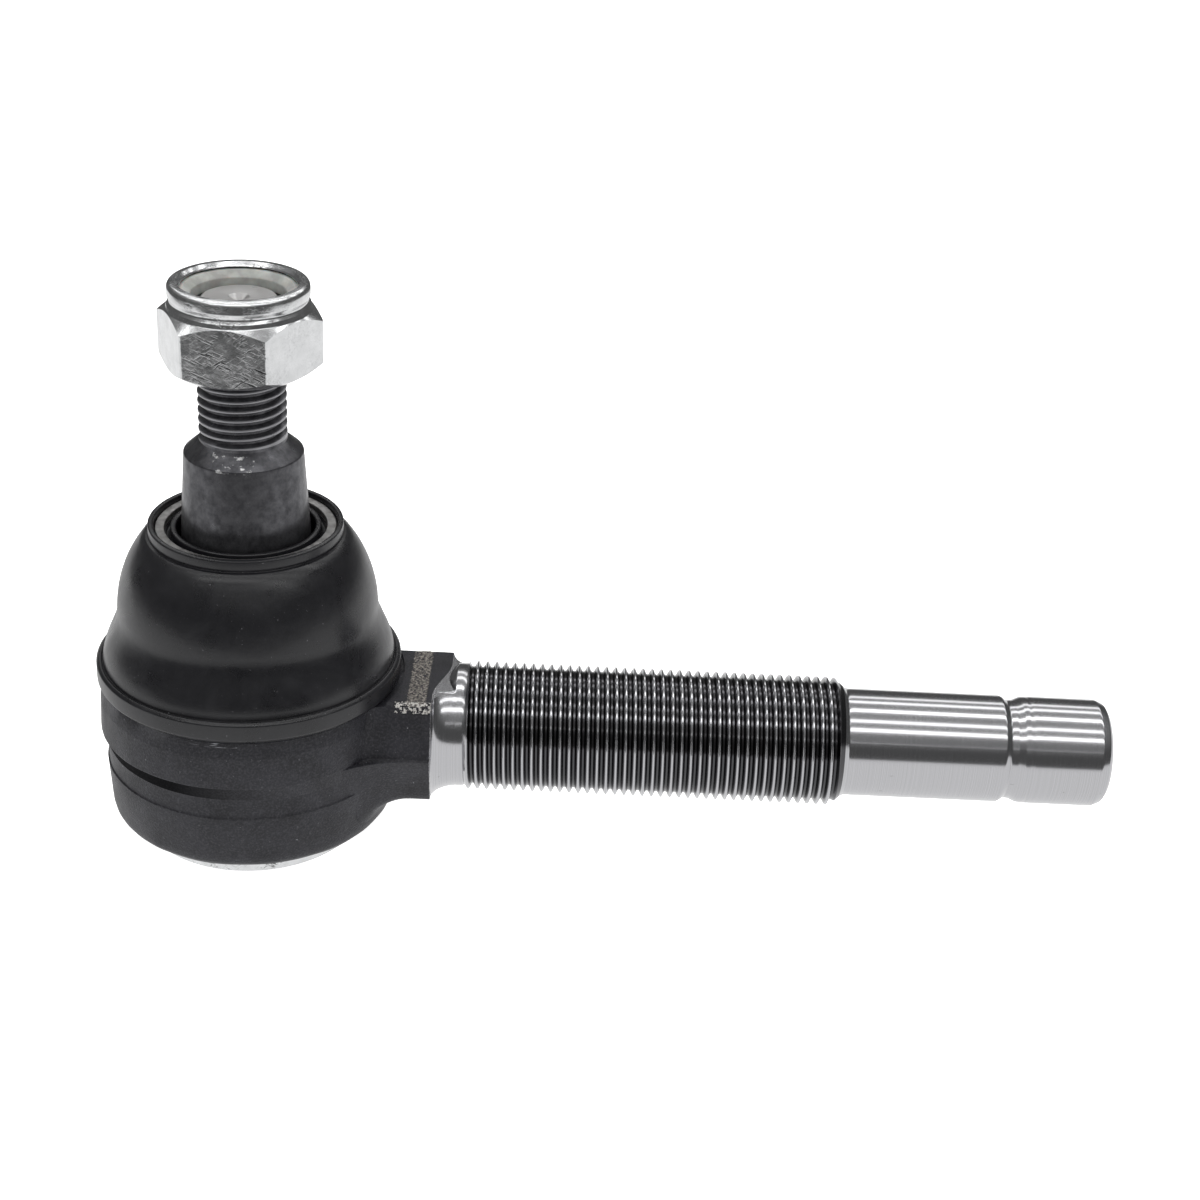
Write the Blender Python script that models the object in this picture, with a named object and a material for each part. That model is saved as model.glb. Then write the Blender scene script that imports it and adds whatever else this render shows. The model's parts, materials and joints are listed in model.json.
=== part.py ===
"""Tie rod end: a ball joint with a threaded shank, a tapered stud and a lock nut.

The origin is the centre of the cover plate's flat outer face.
+Z runs up the stud and +X runs out along the shank.
"""
import math

import bmesh
import bpy
from mathutils import Matrix, Vector

MM = 0.001
GAP = 0.3 * MM                    # air between pieces that touch or slide

# Ball, seats and the stack under the ball
BALL_RADIUS = 13.5 * MM
SEAT_WALL = 3.7 * MM
SEAT_GRIP_ANGLE = 29.0            # degrees above the equator where the upper seat ends
SEAT_SPLIT = 0.25 * MM            # each seat stops this far from the ball's equator
SEAT_HOLE_RADIUS = 5.5 * MM       # grease hole under the ball
BALL_ROOM = 3.5 * MM              # from the ball's lowest point to the cover's floor
SPRING_WIRE_RADIUS = 1.0 * MM
SPRING_WALL = 2.1 * MM            # lower seat outside the spring's pocket
SPRING_TURNS = 1.5
SPRING_COIL_GAP = 0.2 * MM
TILT_LIMIT = 22.0                 # degrees each way

# Socket of the forging
SOCKET_WALL = 6.4 * MM            # outside the bore, at the forging's parting line
PARTING_STEP = 0.85 * MM          # the lower die half is this much slimmer
SOCKET_FOOT_DRAFT = 0.5 * MM      # further taper down to the foot
FOOT_LAND = 6.0 * MM              # depth of the straighter band under the parting line
SOCKET_HEAD_DRAFT = 0.8 * MM
SOCKET_HEAD_LAND = 2.8 * MM       # straight band under the top face
MOUTH_LIP = 1.3 * MM              # forging above the upper seat
COLLAR_HEIGHT = 5.2 * MM
COLLAR_WALL = 6.0 * MM            # around the mouth, under the boot
COLLAR_CHAMFER = 0.5 * MM
FOOT_ROUND = 1.7 * MM

# Cover plate and its seal
COVER_THICKNESS = 1.8 * MM
COVER_PROUD = 3.6 * MM            # how far it stands out of the socket's foot
COVER_STEP = 1.5 * MM             # width of the rim that the swaged lip holds
COUNTERBORE_STEP = 2.2 * MM
COVER_ROUND = 0.9 * MM
SWAGE_THICKNESS = 1.4 * MM
SEAL_SECTION_RADIUS = 0.75 * MM

# Neck and shank
NECK_HALF_WIDTH = 12.3 * MM       # at the forging's parting line
NECK_TOP = 8.75 * MM               # flat top over the shank's axis
NECK_BOTTOM = 9.2 * MM            # underside below the shank's axis
NECK_DRAFT = 2.5 * MM             # both flats are this much narrower each side
NECK_TOP_CORNER = 0.8 * MM
NECK_BOTTOM_CORNER = 1.5 * MM
NECK_REACH = 10.2 * MM            # from the socket's side to the plain land
FLARE_LENGTH = 4.5 * MM           # turned fillet from the neck down to the land
FLARE_RISE = 2.3 * MM             # height of the fillet over the land, under a square wall
LAND_LENGTH = 0.85 * MM
SHANK_LEAD = 2.0 * MM             # the round shank starts this far back inside the flare
THREAD_RADIUS = 10.5 * MM         # shank thread, over the crests
THREAD_PITCH = 1.5 * MM
THREAD_LENGTH = 60.8 * MM
LAND_STEP = 0.45 * MM             # the plain land is this much below the crests
PILOT_STEP = 1.75 * MM            # the pilot is this much below the crests
PILOT_LENGTH = 26.4 * MM
GROOVE_WIDTH = 4.4 * MM
GROOVE_DEPTH = 0.75 * MM
TIP_LENGTH = 13.0 * MM
TIP_CHAMFER = 1.9 * MM
TIP_CHAMFER_DEPTH = 1.3 * MM

# Stud
STUD_NECK_RADIUS = 7.5 * MM
STUD_THREAD_RADIUS = 6.8 * MM
SHOULDER_STEP = 2.4 * MM          # the taper's small end stands this far out of the thread
TAPER = 1.0 / 16.0                # growth of the radius along the taper
TAPER_LENGTH = 21.0 * MM
TAPER_START = 26.0 * MM           # height of the taper's big end over the ball's centre
NECK_BLEND = 7.0 * MM             # height of the swell from the neck to the taper
SHOULDER_CHAMFER = 2.2 * MM
STUD_THREAD_LENGTH = 22.4 * MM
STUD_TIP_CHAMFER = 1.1 * MM
CENTRE_MARK_RADIUS = 1.6 * MM
CENTRE_MARK_DEPTH = 1.2 * MM

# Dust boot
BOOT_BASE_WALL = 3.8 * MM         # rubber and steel band around the collar
BOOT_FLANGE_HEIGHT = 3.6 * MM
BOOT_CREASE = 1.1 * MM            # the dome starts this far inside the flange
BOOT_HEIGHT = 26.6 * MM           # from the flange's underside to the rim
BOOT_WALL = 1.9 * MM
BOOT_WAIST_DROP = 2.6 * MM        # how much slimmer the dome's waist is than its foot
BOOT_WAIST_RISE = 8.0 * MM        # height of the waist over the flange
RIM_SIDE = 1.9 * MM               # height of the rim's outer side above the dome
RIM_DEPTH = 3.6 * MM              # depth of the rim that grips the stud
RIM_GAP = 0.5 * MM                # from the rim's lip to the stud's taper
LIP_WIDTH = 1.1 * MM
LIP_GROOVE = 0.8 * MM             # between the lip and the washer
WASHER_WIDTH = 1.5 * MM
RIM_WALL = 0.8 * MM               # rubber outside the washer
WASHER_RECESS = 0.8 * MM
WASHER_THICKNESS = 1.0 * MM
BAND_THICKNESS = 0.9 * MM

# Lock nut
NUT_ENGAGED = 11.1 * MM           # stud's thread inside the nut where it stands at rest
NUT_WALL = 3.9 * MM               # thinnest wall of the hexagon outside the bore
NUT_HEX_HEIGHT = 9.4 * MM
NUT_COLLAR_HEIGHT = 4.2 * MM
NUT_COLLAR_STEP = 0.25 * MM       # the round collar is inside the flats by this much
NUT_TOP_CHAMFER = 1.3 * MM
NUT_BOTTOM_CHAMFER = 1.9 * MM
NUT_TURN = -4.0                   # degrees about the stud, where the nut stands at rest
NUT_FACE_STEP = 0.9 * MM          # the clamping face is this far inside the flats
NYLON_WALL = 2.0 * MM
NYLON_HEIGHT = 2.6 * MM
NUT_LIP = 0.7 * MM

ROUND_STEPS = 36
SMALL_STEPS = 24

# Sizes that follow from the ones above, measured from the ball's centre
COS_TILT = math.cos(math.radians(TILT_LIMIT))
TAN_TILT = math.tan(math.radians(TILT_LIMIT))
BALL_HEIGHT = BALL_RADIUS + BALL_ROOM + COVER_THICKNESS
SEAT_INNER = BALL_RADIUS + GAP
SEAT_OUTER = SEAT_INNER + SEAT_WALL
BORE_RADIUS = SEAT_OUTER + GAP
SOCKET_RADIUS = BORE_RADIUS + SOCKET_WALL
SEAT_TOP = SEAT_INNER * math.sin(math.radians(SEAT_GRIP_ANGLE))
SOCKET_TOP = SEAT_TOP + GAP + MOUTH_LIP
COLLAR_TOP = SOCKET_TOP + COLLAR_HEIGHT
COVER_FLOOR = -BALL_RADIUS - BALL_ROOM
COVER_BOTTOM = -BALL_HEIGHT
SOCKET_FOOT = COVER_BOTTOM + COVER_PROUD
COVER_RADIUS = BORE_RADIUS + COUNTERBORE_STEP - COVER_STEP - GAP
COVER_RIM_RADIUS = COVER_RADIUS + COVER_STEP
SWAGE_TOP = SOCKET_FOOT + SWAGE_THICKNESS
COVER_RIM_BOTTOM = SWAGE_TOP + GAP
COVER_RIM_TOP = COVER_RIM_BOTTOM + COVER_STEP
COUNTERBORE_RADIUS = COVER_RIM_RADIUS + GAP
SEAL_HEIGHT = COVER_RIM_TOP + GAP + SEAL_SECTION_RADIUS
SEAL_RADIUS = COUNTERBORE_RADIUS - GAP - SEAL_SECTION_RADIUS
COUNTERBORE_TOP = SEAL_HEIGHT + SEAL_SECTION_RADIUS + GAP
COVER_INNER_RADIUS = COVER_RADIUS - COVER_THICKNESS
SEAT_FOOT_RADIUS = COVER_INNER_RADIUS - GAP
SEAT_STEP_HEIGHT = COVER_RIM_TOP + GAP
SEAT_BOTTOM = COVER_FLOOR + GAP
SPRING_RADIUS = SEAT_FOOT_RADIUS - SPRING_WALL - GAP - SPRING_WIRE_RADIUS
SPRING_RISE = SPRING_TURNS * (2 * SPRING_WIRE_RADIUS + SPRING_COIL_GAP)
SPRING_BOTTOM = COVER_FLOOR + GAP + SPRING_WIRE_RADIUS
SPRING_POCKET_TOP = SPRING_BOTTOM + SPRING_RISE + SPRING_WIRE_RADIUS + GAP

LAND_RADIUS = THREAD_RADIUS - LAND_STEP
PILOT_RADIUS = THREAD_RADIUS - PILOT_STEP
LAND_START = SOCKET_RADIUS + NECK_REACH
THREAD_START = LAND_START + LAND_LENGTH
PILOT_START = THREAD_START + THREAD_LENGTH
GROOVE_START = PILOT_START + PILOT_LENGTH
TIP_START = GROOVE_START + GROOVE_WIDTH
SHANK_END = TIP_START + TIP_LENGTH

TAPER_TOP_RADIUS = STUD_THREAD_RADIUS + SHOULDER_STEP
SHOULDER_HEIGHT = TAPER_START + TAPER_LENGTH
STUD_THREAD_START = SHOULDER_HEIGHT + SHOULDER_CHAMFER
STUD_TOP = STUD_THREAD_START + STUD_THREAD_LENGTH

BOOT_BASE = SOCKET_TOP + GAP
BOOT_TOP = BOOT_BASE + BOOT_HEIGHT
BOOT_FLANGE_TOP = BOOT_BASE + BOOT_FLANGE_HEIGHT
RIM_BOTTOM = BOOT_TOP - RIM_DEPTH

NUT_BORE_RADIUS = STUD_THREAD_RADIUS + GAP
NUT_FLAT_RADIUS = NUT_BORE_RADIUS + NUT_WALL
NUT_BOTTOM = STUD_TOP - NUT_ENGAGED
NUT_HEX_TOP = NUT_BOTTOM + NUT_HEX_HEIGHT
NUT_TOP = NUT_HEX_TOP + NUT_COLLAR_HEIGHT
NYLON_BOTTOM = NUT_TOP - NUT_LIP - GAP - NYLON_HEIGHT


def mouth_radius(height):
    """Free radius that the ball and the tilted stud neck need at a height over the ball's centre."""
    neck_room = height * TAN_TILT + STUD_NECK_RADIUS / COS_TILT + 2 * GAP
    ball_room = math.sqrt(max((BALL_RADIUS + 2 * GAP) ** 2 - height ** 2, 0.0))
    return max(neck_room, ball_room)


COLLAR_RADIUS = mouth_radius(COLLAR_TOP) + COLLAR_WALL
BOOT_FLANGE_RADIUS = COLLAR_RADIUS + GAP + BOOT_BASE_WALL


def taper_radius(height):
    """Radius of the stud's taper at a height over the ball's centre."""
    return TAPER_TOP_RADIUS + (SHOULDER_HEIGHT - height) * TAPER


LIP_INNER = taper_radius(RIM_BOTTOM) + RIM_GAP
WASHER_INNER = LIP_INNER + LIP_WIDTH + LIP_GROOVE
WASHER_OUTER = WASHER_INNER + WASHER_WIDTH
RIM_RADIUS = WASHER_OUTER + GAP + RIM_WALL


def material(name, colour, roughness, metallic):
    """Principled material with one colour."""
    made = bpy.data.materials.new(name)
    made.use_nodes = True
    shader = made.node_tree.nodes["Principled BSDF"]
    shader.inputs["Base Color"].default_value = (*colour, 1.0)
    shader.inputs["Roughness"].default_value = roughness
    shader.inputs["Metallic"].default_value = metallic
    made.diffuse_color = (*colour, 1.0)
    return made


def arc(centre, radius, start, end, steps):
    """Points on an arc in the (radius, height) plane, angles in degrees."""
    points = []
    for step in range(steps + 1):
        angle = math.radians(start + (end - start) * step / steps)
        points.append((centre[0] + radius * math.cos(angle), centre[1] + radius * math.sin(angle)))
    return points


def add_object(name, bm, finish, smooth=True):
    """Turn a bmesh into a named object with its material."""
    mesh = bpy.data.meshes.new(name)
    bm.to_mesh(mesh)
    bm.free()
    made = bpy.data.objects.new(name, mesh)
    bpy.context.scene.collection.objects.link(made)
    mesh.materials.append(finish)
    if smooth:
        mesh.shade_smooth()
        mesh.set_sharp_from_angle(angle=math.radians(32))
    return made


def turned(name, outline, finish, axis="Z", steps=ROUND_STEPS):
    """Solid of revolution from a closed outline of (radius, height over the ball's centre)."""
    bm = bmesh.new()
    corners = [bm.verts.new((radius, 0.0, height)) for radius, height in outline]
    for first, second in zip(corners, corners[1:] + corners[:1]):
        bm.edges.new((first, second))
    bmesh.ops.spin(bm, geom=bm.verts[:] + bm.edges[:], cent=(0, 0, 0), axis=(0, 0, 1),
                   angle=2 * math.pi, steps=steps, use_merge=True)
    bmesh.ops.remove_doubles(bm, verts=bm.verts[:], dist=0.00001)
    bmesh.ops.dissolve_degenerate(bm, dist=0.00001, edges=bm.edges[:])
    bmesh.ops.recalc_face_normals(bm, faces=bm.faces[:])
    if axis == "X":
        bmesh.ops.rotate(bm, verts=bm.verts[:], cent=(0, 0, 0),
                         matrix=Matrix.Rotation(math.radians(90), 3, "Y"))
    bmesh.ops.translate(bm, verts=bm.verts[:], vec=(0, 0, BALL_HEIGHT))
    return add_object(name, bm, finish)


def combine(body, tool, operation):
    """Boolean with a helper object that isn't part of the model."""
    step = body.modifiers.new(operation.lower() + "_" + tool.name, "BOOLEAN")
    step.operation = operation
    step.object = tool
    step.solver = "EXACT"
    tool.hide_render = True
    tool.display_type = "WIRE"


def socket_outline():
    """Drafted forging, solid to the axis, from its foot to the boot's collar."""
    lower_radius = SOCKET_RADIUS - PARTING_STEP
    foot_radius = lower_radius - SOCKET_FOOT_DRAFT
    head_radius = SOCKET_RADIUS - SOCKET_HEAD_DRAFT
    outline = [(0.0, SOCKET_FOOT)]
    outline += arc((foot_radius - FOOT_ROUND, SOCKET_FOOT + FOOT_ROUND), FOOT_ROUND, -90, 0, 4)
    outline += [
        (lower_radius - 0.1 * MM, -FOOT_LAND),
        (lower_radius, -PARTING_STEP / 2),
        (SOCKET_RADIUS, PARTING_STEP / 2),
        (head_radius, SOCKET_TOP - SOCKET_HEAD_LAND),
        (head_radius, COLLAR_TOP),
        (0.0, COLLAR_TOP),
    ]
    return outline


def socket_bore_outline():
    """Everything the tools cut out of the socket, past both of its ends."""
    seat_roof = SEAT_TOP + GAP
    past_top = COLLAR_TOP + 1.0 * MM
    past_foot = SOCKET_FOOT - 1.0 * MM
    return [
        (0.0, past_foot),
        (COVER_RADIUS + GAP, past_foot),
        (COVER_RADIUS + GAP, SWAGE_TOP),
        (COUNTERBORE_RADIUS, SWAGE_TOP),
        (COUNTERBORE_RADIUS, COUNTERBORE_TOP),
        (BORE_RADIUS, COUNTERBORE_TOP),
        (BORE_RADIUS, seat_roof),
        (mouth_radius(seat_roof), seat_roof),
        (mouth_radius(past_top), past_top),
        (0.0, past_top),
    ]


def boot_seat_outline():
    """Ring that the lathe clears around the collar, so that the boot sits down beside the neck."""
    past = 1.0 * MM
    clear_radius = BOOT_FLANGE_RADIUS + 2 * GAP
    return [
        (COLLAR_RADIUS, SOCKET_TOP),
        (clear_radius, SOCKET_TOP),
        (clear_radius, COLLAR_TOP + past),
        (COLLAR_RADIUS - COLLAR_CHAMFER - past, COLLAR_TOP + past),
        (COLLAR_RADIUS, COLLAR_TOP - COLLAR_CHAMFER),
    ]


def neck_section():
    """Outline of the neck in (y, z): flat top and bottom, drafted from the parting line."""
    top = (NECK_HALF_WIDTH - NECK_DRAFT - NECK_TOP_CORNER, NECK_TOP - NECK_TOP_CORNER)
    bottom = (NECK_HALF_WIDTH - NECK_DRAFT - NECK_BOTTOM_CORNER, NECK_BOTTOM_CORNER - NECK_BOTTOM)
    right = arc(bottom, NECK_BOTTOM_CORNER, -90, -15, 4)
    right += [(NECK_HALF_WIDTH, 0.0)]
    right += arc(top, NECK_TOP_CORNER, 15, 90, 2)
    return right + [(-y, z) for y, z in reversed(right)]


def neck_block(finish):
    """Forged block from inside the socket's wall out to the plain land."""
    bm = bmesh.new()
    near = BORE_RADIUS + 2.0 * MM
    corners = [bm.verts.new((near, y, z + BALL_HEIGHT)) for y, z in neck_section()]
    face = bm.faces.new(corners)
    pushed = bmesh.ops.extrude_face_region(bm, geom=[face])
    moved = [item for item in pushed["geom"] if isinstance(item, bmesh.types.BMVert)]
    bmesh.ops.translate(bm, verts=moved, vec=(LAND_START - near, 0, 0))
    bmesh.ops.recalc_face_normals(bm, faces=bm.faces[:])
    return add_object("neck_block", bm, finish)


def flare_outline():
    """Lathe envelope that turns the block's end down to the land; height runs along the shank."""
    widest = math.hypot(NECK_HALF_WIDTH, NECK_BOTTOM)
    land = LAND_RADIUS - 0.05 * MM
    flare_start = LAND_START - FLARE_LENGTH
    curve = []
    steps = 6
    for step in range(steps + 1):
        angle = math.radians(90 * step / steps)
        radius = land + FLARE_RISE * (1 - math.sin(angle))
        curve.append((radius, flare_start + FLARE_LENGTH * (1 - math.cos(angle))))
    block = [(0.0, BORE_RADIUS), (widest, BORE_RADIUS), (widest, flare_start)]
    return block + curve + [(0.0, LAND_START)]


def shank_outline():
    """Turned shank: land, thread crests, pilot, crimp groove and tip; height runs along the shank."""
    near = LAND_START - SHANK_LEAD
    groove_centre = GROOVE_START + GROOVE_WIDTH / 2
    outline = [
        (0.0, near),
        (LAND_RADIUS, near),
        (LAND_RADIUS, THREAD_START - LAND_LENGTH / 4),
        (THREAD_RADIUS, THREAD_START + THREAD_PITCH / 2),
        (THREAD_RADIUS, PILOT_START - THREAD_PITCH / 2),
        (PILOT_RADIUS, PILOT_START + THREAD_PITCH / 2),
        (PILOT_RADIUS, GROOVE_START),
    ]
    steps = 6
    for step in range(1, steps):
        share = step / steps
        dip = GROOVE_DEPTH * math.sin(share * math.pi)
        outline.append((PILOT_RADIUS - dip, groove_centre + GROOVE_WIDTH * (share - 0.5)))
    outline += [
        (PILOT_RADIUS, TIP_START),
        (PILOT_RADIUS, SHANK_END - TIP_CHAMFER),
        (PILOT_RADIUS - TIP_CHAMFER_DEPTH * 0.35, SHANK_END - TIP_CHAMFER * 0.35),
        (PILOT_RADIUS - TIP_CHAMFER_DEPTH, SHANK_END),
        (0.0, SHANK_END),
    ]
    return outline


def make_housing(finish):
    """One forging: socket, neck and shank, bored from below and opened above."""
    housing = turned("housing", socket_outline(), finish)
    block = neck_block(finish)
    combine(block, turned("flare_envelope", flare_outline(), finish, axis="X"), "INTERSECT")
    combine(housing, block, "UNION")
    combine(housing, turned("boot_seat", boot_seat_outline(), finish), "DIFFERENCE")
    combine(housing, turned("shank_bar", shank_outline(), finish, axis="X"), "UNION")
    combine(housing, turned("socket_bore", socket_bore_outline(), finish), "DIFFERENCE")
    return housing


def make_ball_stud(finish):
    """Ball, neck, taper, shoulder and threaded end, turned in one piece."""
    join_angle = math.degrees(math.acos(STUD_NECK_RADIUS / BALL_RADIUS))
    neck_top = TAPER_START - NECK_BLEND
    outline = arc((0.0, 0.0), BALL_RADIUS, -90, join_angle, 16)
    outline += [
        (STUD_NECK_RADIUS, neck_top),
        ((STUD_NECK_RADIUS + taper_radius(TAPER_START)) / 2, neck_top + NECK_BLEND * 0.45),
        (taper_radius(TAPER_START), TAPER_START - NECK_BLEND * 0.1),
        (taper_radius(TAPER_START), TAPER_START),
        (TAPER_TOP_RADIUS, SHOULDER_HEIGHT),
        (STUD_THREAD_RADIUS + 0.2 * MM, STUD_THREAD_START),
        (STUD_THREAD_RADIUS, STUD_THREAD_START + 0.2 * MM),
        (STUD_THREAD_RADIUS, STUD_TOP - STUD_TIP_CHAMFER),
        (STUD_THREAD_RADIUS - STUD_TIP_CHAMFER, STUD_TOP),
        (CENTRE_MARK_RADIUS, STUD_TOP),
        (0.0, STUD_TOP - CENTRE_MARK_DEPTH),
    ]
    return turned("ball_stud", outline, finish)


def make_seats(finish):
    """Two plastic half shells that hold the ball; the lower one also guides the spring."""
    top_angle = SEAT_GRIP_ANGLE
    start_angle = math.degrees(math.asin(SEAT_SPLIT / SEAT_INNER))
    upper = arc((0.0, 0.0), SEAT_INNER, start_angle, top_angle, 6)
    upper += [(SEAT_OUTER, SEAT_TOP), (SEAT_OUTER, SEAT_SPLIT)]
    turned("upper_ball_seat", upper, finish)

    hole_angle = math.degrees(math.acos(SEAT_HOLE_RADIUS / SEAT_INNER))
    pocket_inner = SPRING_RADIUS - SPRING_WIRE_RADIUS - GAP
    pocket_outer = SPRING_RADIUS + SPRING_WIRE_RADIUS + GAP
    lower = arc((0.0, 0.0), SEAT_INNER, -start_angle, -hole_angle, 10)
    lower += [
        (SEAT_HOLE_RADIUS, SEAT_BOTTOM),
        (pocket_inner, SEAT_BOTTOM),
        (pocket_inner, SPRING_POCKET_TOP),
        (pocket_outer, SPRING_POCKET_TOP),
        (pocket_outer, SEAT_BOTTOM),
        (SEAT_FOOT_RADIUS, SEAT_BOTTOM),
        (SEAT_FOOT_RADIUS, SEAT_STEP_HEIGHT),
        (SEAT_OUTER, SEAT_STEP_HEIGHT),
        (SEAT_OUTER, -SEAT_SPLIT),
    ]
    turned("lower_ball_seat", lower, finish)


def make_spring(finish):
    """Round-wire compression spring between the cover and the lower seat."""
    bm = bmesh.new()
    sides = 8
    made = bmesh.ops.create_circle(bm, segments=sides, radius=SPRING_WIRE_RADIUS, cap_ends=True)
    bmesh.ops.rotate(bm, verts=made["verts"], cent=(0, 0, 0), matrix=Matrix.Rotation(math.radians(90), 3, "X"))
    bmesh.ops.translate(bm, verts=made["verts"], vec=(SPRING_RADIUS, 0, SPRING_BOTTOM + BALL_HEIGHT))
    cap = bm.faces[:]
    steps = int(SPRING_TURNS * SMALL_STEPS)
    bmesh.ops.spin(bm, geom=cap, cent=(0, 0, 0), axis=(0, 0, 1), angle=SPRING_TURNS * 2 * math.pi,
                   steps=steps, dvec=Vector((0, 0, SPRING_RISE / steps)))
    bmesh.ops.recalc_face_normals(bm, faces=bm.faces[:])
    return add_object("preload_spring", bm, finish)


def make_cover(finish):
    """Pressed steel cup held by the socket's swaged lip; its flat bottom is the resting face."""
    outline = [(0.0, COVER_BOTTOM)]
    outline += arc((COVER_RADIUS - COVER_ROUND, COVER_BOTTOM + COVER_ROUND), COVER_ROUND, -90, 0, 4)
    outline += [
        (COVER_RADIUS, COVER_RIM_BOTTOM),
        (COVER_RIM_RADIUS, COVER_RIM_BOTTOM),
        (COVER_RIM_RADIUS, COVER_RIM_TOP),
        (COVER_INNER_RADIUS, COVER_RIM_TOP),
        (COVER_INNER_RADIUS, COVER_FLOOR),
        (0.0, COVER_FLOOR),
    ]
    return turned("cover_plate", outline, finish)


def make_seal(finish):
    """Rubber ring between the cover's rim and the counterbore's roof."""
    ring = arc((SEAL_RADIUS, SEAL_HEIGHT), SEAL_SECTION_RADIUS, 0, 360, 8)[:-1]
    return turned("cover_seal_ring", ring, finish)


def bezier(points, steps):
    """Points along a Bezier curve, its first point left out."""
    curve = []
    for step in range(1, steps + 1):
        share = step / steps
        layer = [Vector(point) for point in points]
        while len(layer) > 1:
            layer = [first.lerp(second, share) for first, second in zip(layer, layer[1:])]
        curve.append(tuple(layer[0]))
    return curve


def boot_dome(offset):
    """Side of the dome from its crease to the rim, moved inward by an offset."""
    foot = BOOT_FLANGE_RADIUS - BOOT_CREASE - offset
    waist = foot - BOOT_WAIST_DROP
    waist_height = BOOT_FLANGE_TOP + BOOT_WAIST_RISE
    crown = BOOT_TOP - RIM_SIDE - offset / 2
    shoulder = waist_height + (crown - waist_height) * 0.62
    lower = [(foot, BOOT_FLANGE_TOP), (foot, BOOT_FLANGE_TOP + BOOT_WAIST_RISE * 0.35),
             (waist + 0.4 * MM, waist_height - BOOT_WAIST_RISE * 0.3), (waist, waist_height)]
    upper = [(waist, waist_height), (waist - 0.3 * MM, shoulder), (RIM_RADIUS + 0.5 * MM - offset, crown)]
    return [(foot, BOOT_FLANGE_TOP)] + bezier(lower, 4) + bezier(upper, 7)


def make_boot(rubber, steel):
    """Rubber boot with a steel band in its base and a stiffening washer in its rim."""
    edge = 0.7 * MM
    washer_top = BOOT_TOP - WASHER_RECESS
    pocket_floor = washer_top - WASHER_THICKNESS - GAP
    band_inner = COLLAR_RADIUS + 2 * GAP + 1.0 * MM
    band_outer = band_inner + BAND_THICKNESS
    band_top = BOOT_FLANGE_TOP - 1.2 * MM

    outline = [
        (BOOT_FLANGE_RADIUS - edge, BOOT_BASE),
        (BOOT_FLANGE_RADIUS, BOOT_BASE + 2 * edge),
        (BOOT_FLANGE_RADIUS, BOOT_FLANGE_TOP - edge),
        (BOOT_FLANGE_RADIUS - edge, BOOT_FLANGE_TOP),
    ]
    outline += boot_dome(0.0)
    outline += [
        (RIM_RADIUS, BOOT_TOP - RIM_SIDE),
        (RIM_RADIUS - 0.1 * MM, BOOT_TOP),
        (WASHER_OUTER + GAP, BOOT_TOP),
        (WASHER_OUTER + GAP, pocket_floor),
        (WASHER_INNER - GAP, pocket_floor),
        (WASHER_INNER - GAP, washer_top),
        (LIP_INNER, washer_top),
        (LIP_INNER, RIM_BOTTOM),
        (RIM_RADIUS - BOOT_WALL, RIM_BOTTOM),
    ]
    outline += reversed(boot_dome(BOOT_WALL)[:-1])
    outline += [
        (COLLAR_RADIUS + GAP, COLLAR_TOP + GAP),
        (COLLAR_RADIUS + GAP, BOOT_BASE),
        (band_inner - GAP, BOOT_BASE),
        (band_inner - GAP, band_top + GAP),
        (band_outer + GAP, band_top + GAP),
        (band_outer + GAP, BOOT_BASE),
    ]
    turned("dust_boot", outline, rubber)

    band = [(band_inner, BOOT_BASE), (band_outer, BOOT_BASE), (band_outer, band_top), (band_inner, band_top)]
    turned("boot_base_band", band, steel)

    washer = [(WASHER_INNER, washer_top - WASHER_THICKNESS), (WASHER_OUTER, washer_top - WASHER_THICKNESS),
              (WASHER_OUTER, washer_top), (WASHER_INNER, washer_top)]
    turned("boot_rim_washer", washer, steel)


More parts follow.
